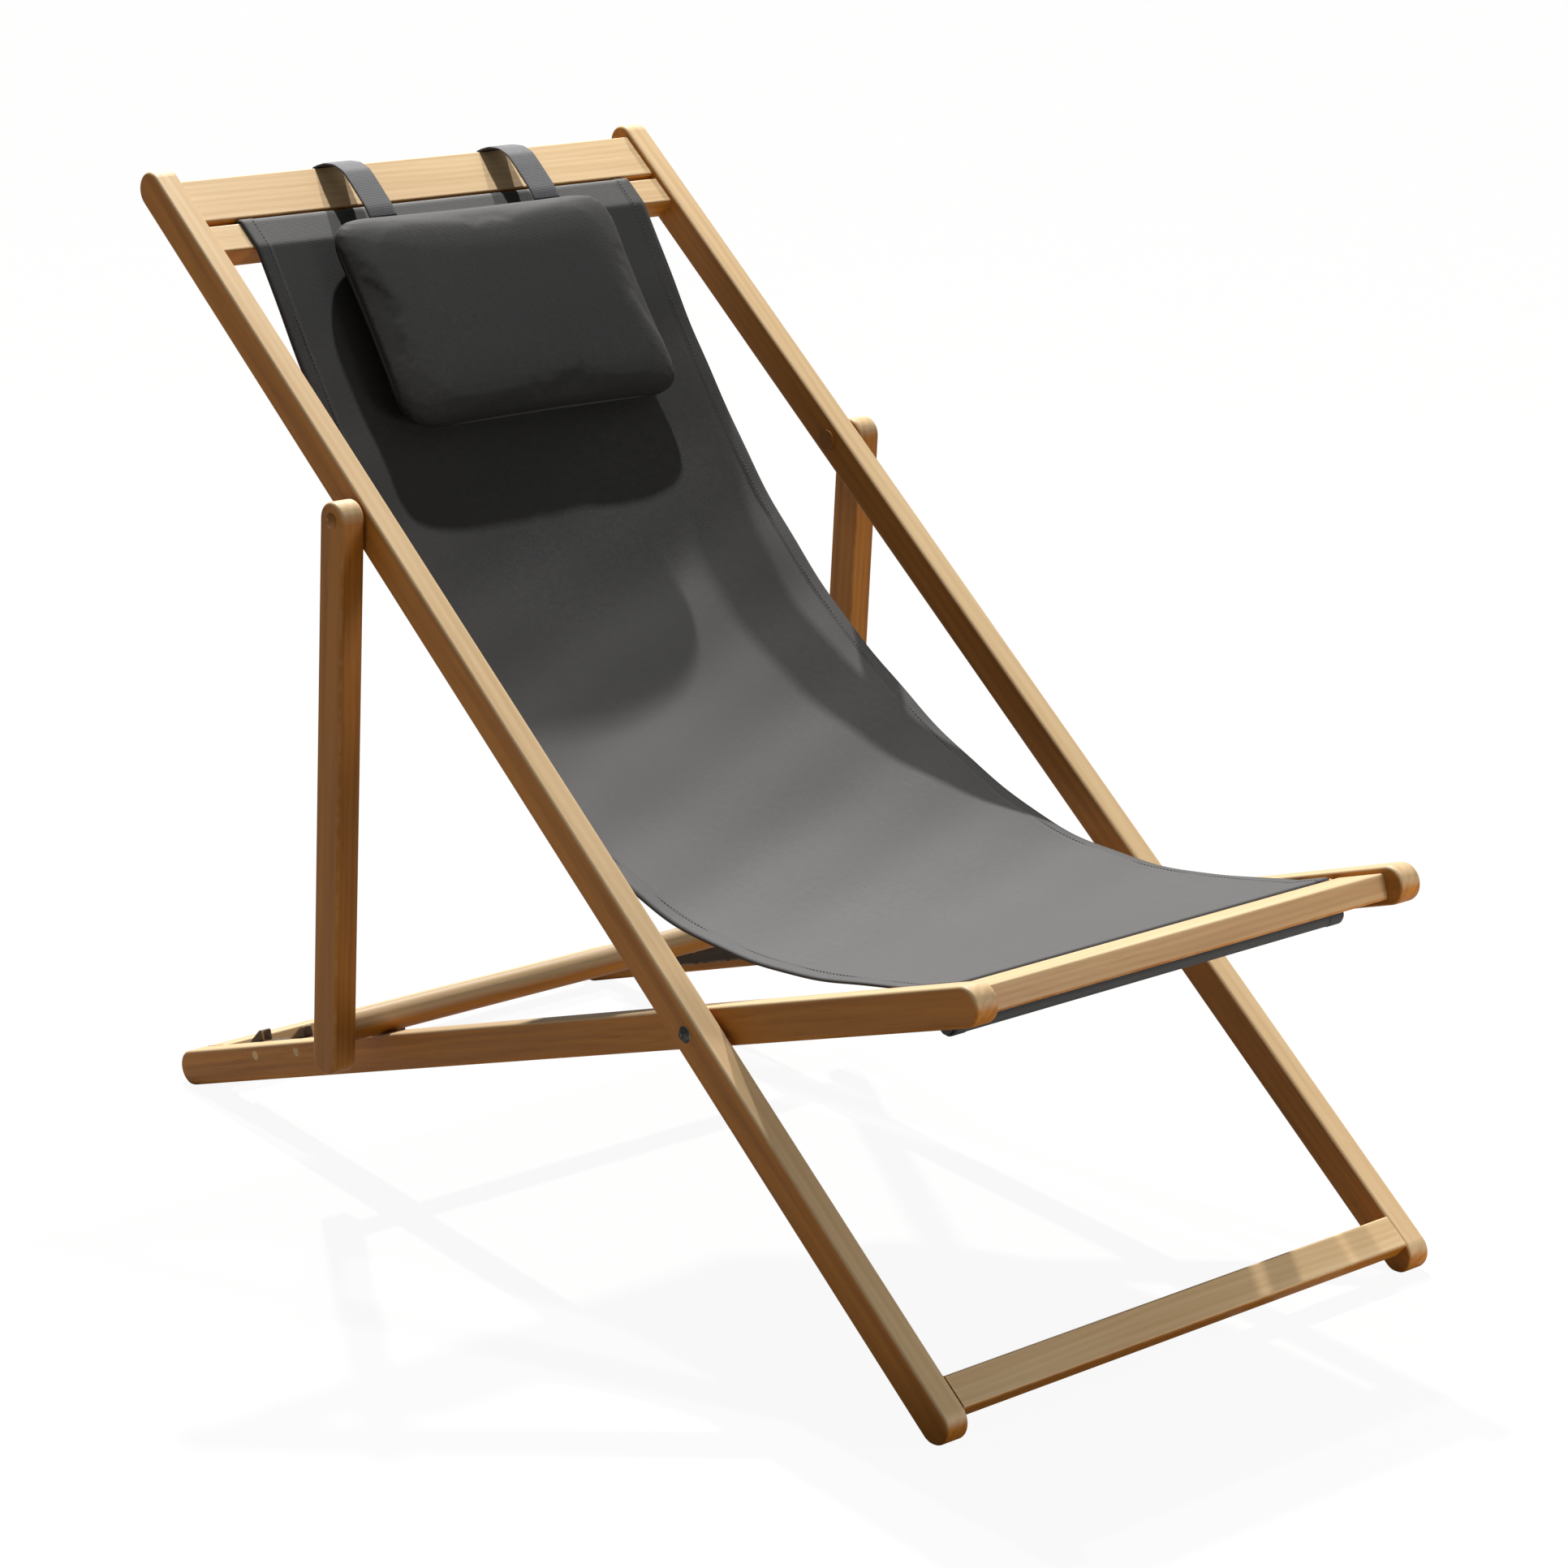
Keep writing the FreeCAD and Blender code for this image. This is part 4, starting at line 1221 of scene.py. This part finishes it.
@dataclass
class PillowStraps:
    """Two flat straps from the pillow's top seam over the head board, with a stud behind.

    Args:
        book: the finishes.
        rise: how far they arch off the board's front.
        thick: thickness of the webbing.
        gap: air between webbing and board.
        bend: radius where it turns over the board's edge.
        tail: how far it comes down behind.
    """

    book: FinishBook
    rise: float = 0.030
    thick: float = 0.0018
    gap: float = 0.0007
    bend: float = 0.0045
    tail: float = 0.044

    def line(self, seam: np.ndarray) -> np.ndarray:
        """Return the strap's line in the back frame, from the pillow's seam to its end.

        An arch of set points is joined to the turn over the board's edge and the tail, respaced
        and smoothed by a bell-shaped average where it is free of the board.

        Args:
            seam: (u, w) where it leaves the pillow.

        Returns:
            Evenly spaced points (u, w).
        """
        (lo_u, lo_w), (hi_u, hi_w) = self.book.lines.span("head_board", self.book.lines.back)
        stand, bend = self.gap + self.thick / 2, self.bend
        face, edge = (hi_w - lo_w) / 2 + stand, hi_u + stand
        shape = ((0.10, 0.93), (0.35, 0.93), (0.62, 0.74), (0.84, 0.40))
        arch = [seam, [seam[0] + 0.012, seam[1] + 0.10 * self.rise],
                *([lo_u + a * (hi_u - lo_u), face + b * self.rise] for a, b in shape),
                [hi_u - 0.002, face + 0.09 * self.rise]]
        over = arc(edge - bend, face - bend, bend, 50.0, 0.0, 4)
        under = arc(edge - bend, -face + bend, bend, 0.0, -90.0, 6)
        rough = np.concatenate([arch, over, under, [[hi_u - self.tail, -face]]])
        dense = smooth_steps(rough, 160)
        kernel = np.exp(-np.linspace(-2, 2, 13) ** 2)
        kernel /= kernel.sum()
        padded = np.concatenate([np.repeat(dense[:1], 6, 0), dense, np.repeat(dense[-1:], 6, 0)])
        soft = np.stack([np.convolve(padded[:, k], kernel, "valid") for k in (0, 1)], -1)
        keep = (dense[:, 0] > hi_u - 0.004) | (dense[:, 1] < 0)
        soft[keep] = dense[keep]
        return smooth_steps(soft, 96)

    def build(self, seam: np.ndarray) -> None:
        """Build both straps and dress their studs.

        A strap is a closed band: its line carried across its width, thinner by a third at both
        selvedges, with each face half the thickness off along the line's normal.

        Args:
            seam: (u, w) of the pillow's top seam in the back frame.
        """
        back = self.book.lines.back
        line = self.line(seam)
        normal = line_normals(line)
        for side in SIDES:
            node = "strap_" + side
            lo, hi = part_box(node)
            s = np.linspace(-1.0, 1.0, 17)
            x = (lo.x + hi.x) / 2 + s * (hi.x - lo.x) / 2
            half = self.thick / 2 * (1.0 - 0.35 * np.clip((np.abs(s) - 0.8) / 0.2, 0, 1) ** 2)
            length = line_length(line)
            v = np.linspace(0.0, length, len(line))
            faces_uw = [line[:, None, :] + sign * normal[:, None, :] * half[None, :, None]
                        for sign in (1.0, -1.0)]
            piece = thin_shell("webbing_" + side, x, v, [back.at(uw[..., 0], uw[..., 1]) for uw in faces_uw])
            piece.data.materials.append(self.book.webbing)
            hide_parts(node)
            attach(piece, "back_frame")
            dress("strap_stud_" + side, self.book.stud)
            LOG.info("webbing_%s %.3f x %.3f m", side, hi.x - lo.x, length)


# ---------------------------------------------------------------- studio
@dataclass
class Studio:
    """Pale floor, soft lights and the camera.

    Args:
        eye: the camera's place.
        yaw: its turn from +Y towards +X, degrees.
        pitch: its rise above the horizon, degrees.
        roll: its lean, degrees.
        lens: focal length in mm on a 36 mm sensor.
    """

    eye: tuple[float, float, float] = (-2.5577, -2.8970, 1.4737)
    yaw: float = 41.75
    pitch: float = -15.73
    roll: float = 0.56
    lens: float = 99.24

    def camera(self) -> None:
        """Make the camera: its own axes are right, up and back, from yaw, pitch and roll."""
        y, p, r = (math.radians(k) for k in (self.yaw, self.pitch, self.roll))
        ahead = Vector((math.sin(y) * math.cos(p), math.cos(y) * math.cos(p), math.sin(p)))
        right = Vector((math.cos(y), -math.sin(y), 0.0))
        up = right.cross(ahead)
        side = right * math.cos(r) + up * math.sin(r)
        top = up * math.cos(r) - right * math.sin(r)
        data = bpy.data.cameras.new("view")
        data.lens, data.sensor_width = self.lens, 36.0
        data.clip_start, data.clip_end = 0.05, 100.0
        cam = bpy.data.objects.new("view", data)
        turn = Matrix((side, top, -ahead)).transposed().to_4x4()
        cam.matrix_world = Matrix.Translation(Vector(self.eye)) @ turn
        bpy.context.scene.collection.objects.link(cam)
        bpy.context.scene.camera = cam

    def sun(self, name: str, towards: tuple[float, float, float], strength: float, size: float,
            tint: tuple[float, float, float]) -> None:
        """Add a distant soft light.

        Args:
            name: its name.
            towards: direction from the chair to the light.
            strength: its strength.
            size: its apparent size in degrees.
            tint: its colour.
        """
        data = bpy.data.lights.new(name, "SUN")
        data.energy, data.angle, data.color = strength, math.radians(size), tint
        light = bpy.data.objects.new(name, data)
        light.rotation_mode = "QUATERNION"
        light.rotation_quaternion = Vector(towards).to_track_quat("Z", "Y")
        bpy.context.scene.collection.objects.link(light)

    def lamp(self, name: str, place: tuple[float, float, float], target: tuple[float, float, float],
             size: float, power: float) -> None:
        """Hang a round lamp near the chair, so that its light fades with distance.

        Args:
            name: its name.
            place: where it hangs.
            target: the point that it faces.
            size: its width in metres.
            power: its power in watts.
        """
        data = bpy.data.lights.new(name, "AREA")
        data.shape, data.size, data.energy = "DISK", size, power
        data.color = (1.0, 0.99, 0.97)
        light = bpy.data.objects.new(name, data)
        light.location = place
        light.rotation_mode = "QUATERNION"
        light.rotation_quaternion = (Vector(place) - Vector(target)).to_track_quat("Z", "Y")
        bpy.context.scene.collection.objects.link(light)

    def floor(self) -> None:
        """Lay a pale floor whose lit surface stays light in the camera's view."""
        half, below = 14.0, 0.0004
        corners = np.array([[x * half, y * half, -below] for x, y in ((-1, -1), (1, -1), (1, 1), (-1, 1))])
        floor = new_piece("floor", corners, [[0, 1, 2, 3]], False)
        material = bpy.data.materials.new("pale_floor")
        material.use_nodes = True
        s = NodeSheet(material.node_tree)
        material.node_tree.nodes.clear()
        point = s.add("ShaderNodeTexCoord").outputs["Object"]
        noise = s.add("ShaderNodeTexNoise", {"Vector": point, "Scale": 3.0, "Detail": 4.0})
        tone = s.mix(noise.outputs[0], (0.70, 0.70, 0.69, 1), (0.74, 0.74, 0.73, 1))
        path = s.add("ShaderNodeLightPath")
        tone = s.mix(path.outputs["Is Camera Ray"], (0.36, 0.355, 0.34, 1), tone)
        matt = s.add("ShaderNodeBsdfDiffuse", {"Color": tone})
        glow = s.add("ShaderNodeEmission", {"Color": (1, 1, 1, 1), "Strength": 1.0})
        share = s.math("MULTIPLY", path.outputs["Is Camera Ray"], 0.93)
        both = s.add("ShaderNodeMixShader", {0: share, 1: matt.outputs[0], 2: glow.outputs[0]})
        s.add("ShaderNodeOutputMaterial", {0: both.outputs[0]})
        floor.data.materials.append(material)

    def world(self) -> None:
        """Make the surroundings: white to the camera, a dim even fill to everything else."""
        world = bpy.data.worlds.new("studio")
        bpy.context.scene.world = world
        world.use_nodes = True
        s = NodeSheet(world.node_tree)
        world.node_tree.nodes.clear()
        path = s.add("ShaderNodeLightPath")
        strength = s.ramp(path.outputs["Is Camera Ray"], 0.0, 1.0, 0.19, 1.0)
        back = s.add("ShaderNodeBackground", {"Color": (1.0, 0.995, 0.985, 1.0), "Strength": strength})
        s.add("ShaderNodeOutputWorld", {0: back.outputs[0]})

    def build(self) -> None:
        """Set up everything that isn't the chair."""
        self.camera()
        self.floor()
        self.world()
        self.sun("key", (0.376, 0.565, 0.734), 4.6, 1.6, (1.0, 0.98, 0.95))
        self.lamp("top", (0.57, 1.17, 3.26), (0.0, 0.35, 0.75), 0.10, 82.0)
        self.lamp("front", (0.50, -1.70, 0.35), (0.0, -0.55, 0.25), 0.60, 8.5)
        view = bpy.context.scene.view_settings
        view.view_transform, view.look = "Standard", "None"
        LOG.info("studio ready")


def main() -> None:
    """Build the chair's looks in order and report each sub-assembly."""
    logging.basicConfig(level=logging.INFO, format="%(name)s: %(message)s")
    lines = ChairLines()
    Studio().build()
    centre, tilt, size = HeadPillow.measure()
    book = FinishBook(lines, (tuple(centre), tilt))
    LOG.info("timber frames: %d pieces", TimberFrames(book).dress())
    LOG.info("notch racks: %d pieces", NotchRacks(book).dress())
    LOG.info("pivot fittings: %d pieces", PivotFittings(book).dress())
    sling = SlingSeat(book)
    sling.build()
    sling.stitches()
    sling.dress_rods()
    pillow = HeadPillow(book, centre, tilt, size)
    pillow.build()
    top = pillow.to_row(np.array([0.0, size[1] / 2 - 0.001, 0.0]))
    PillowStraps(book).build(lines.back.local(top[1:]))


if __name__ == "__main__":
    main()
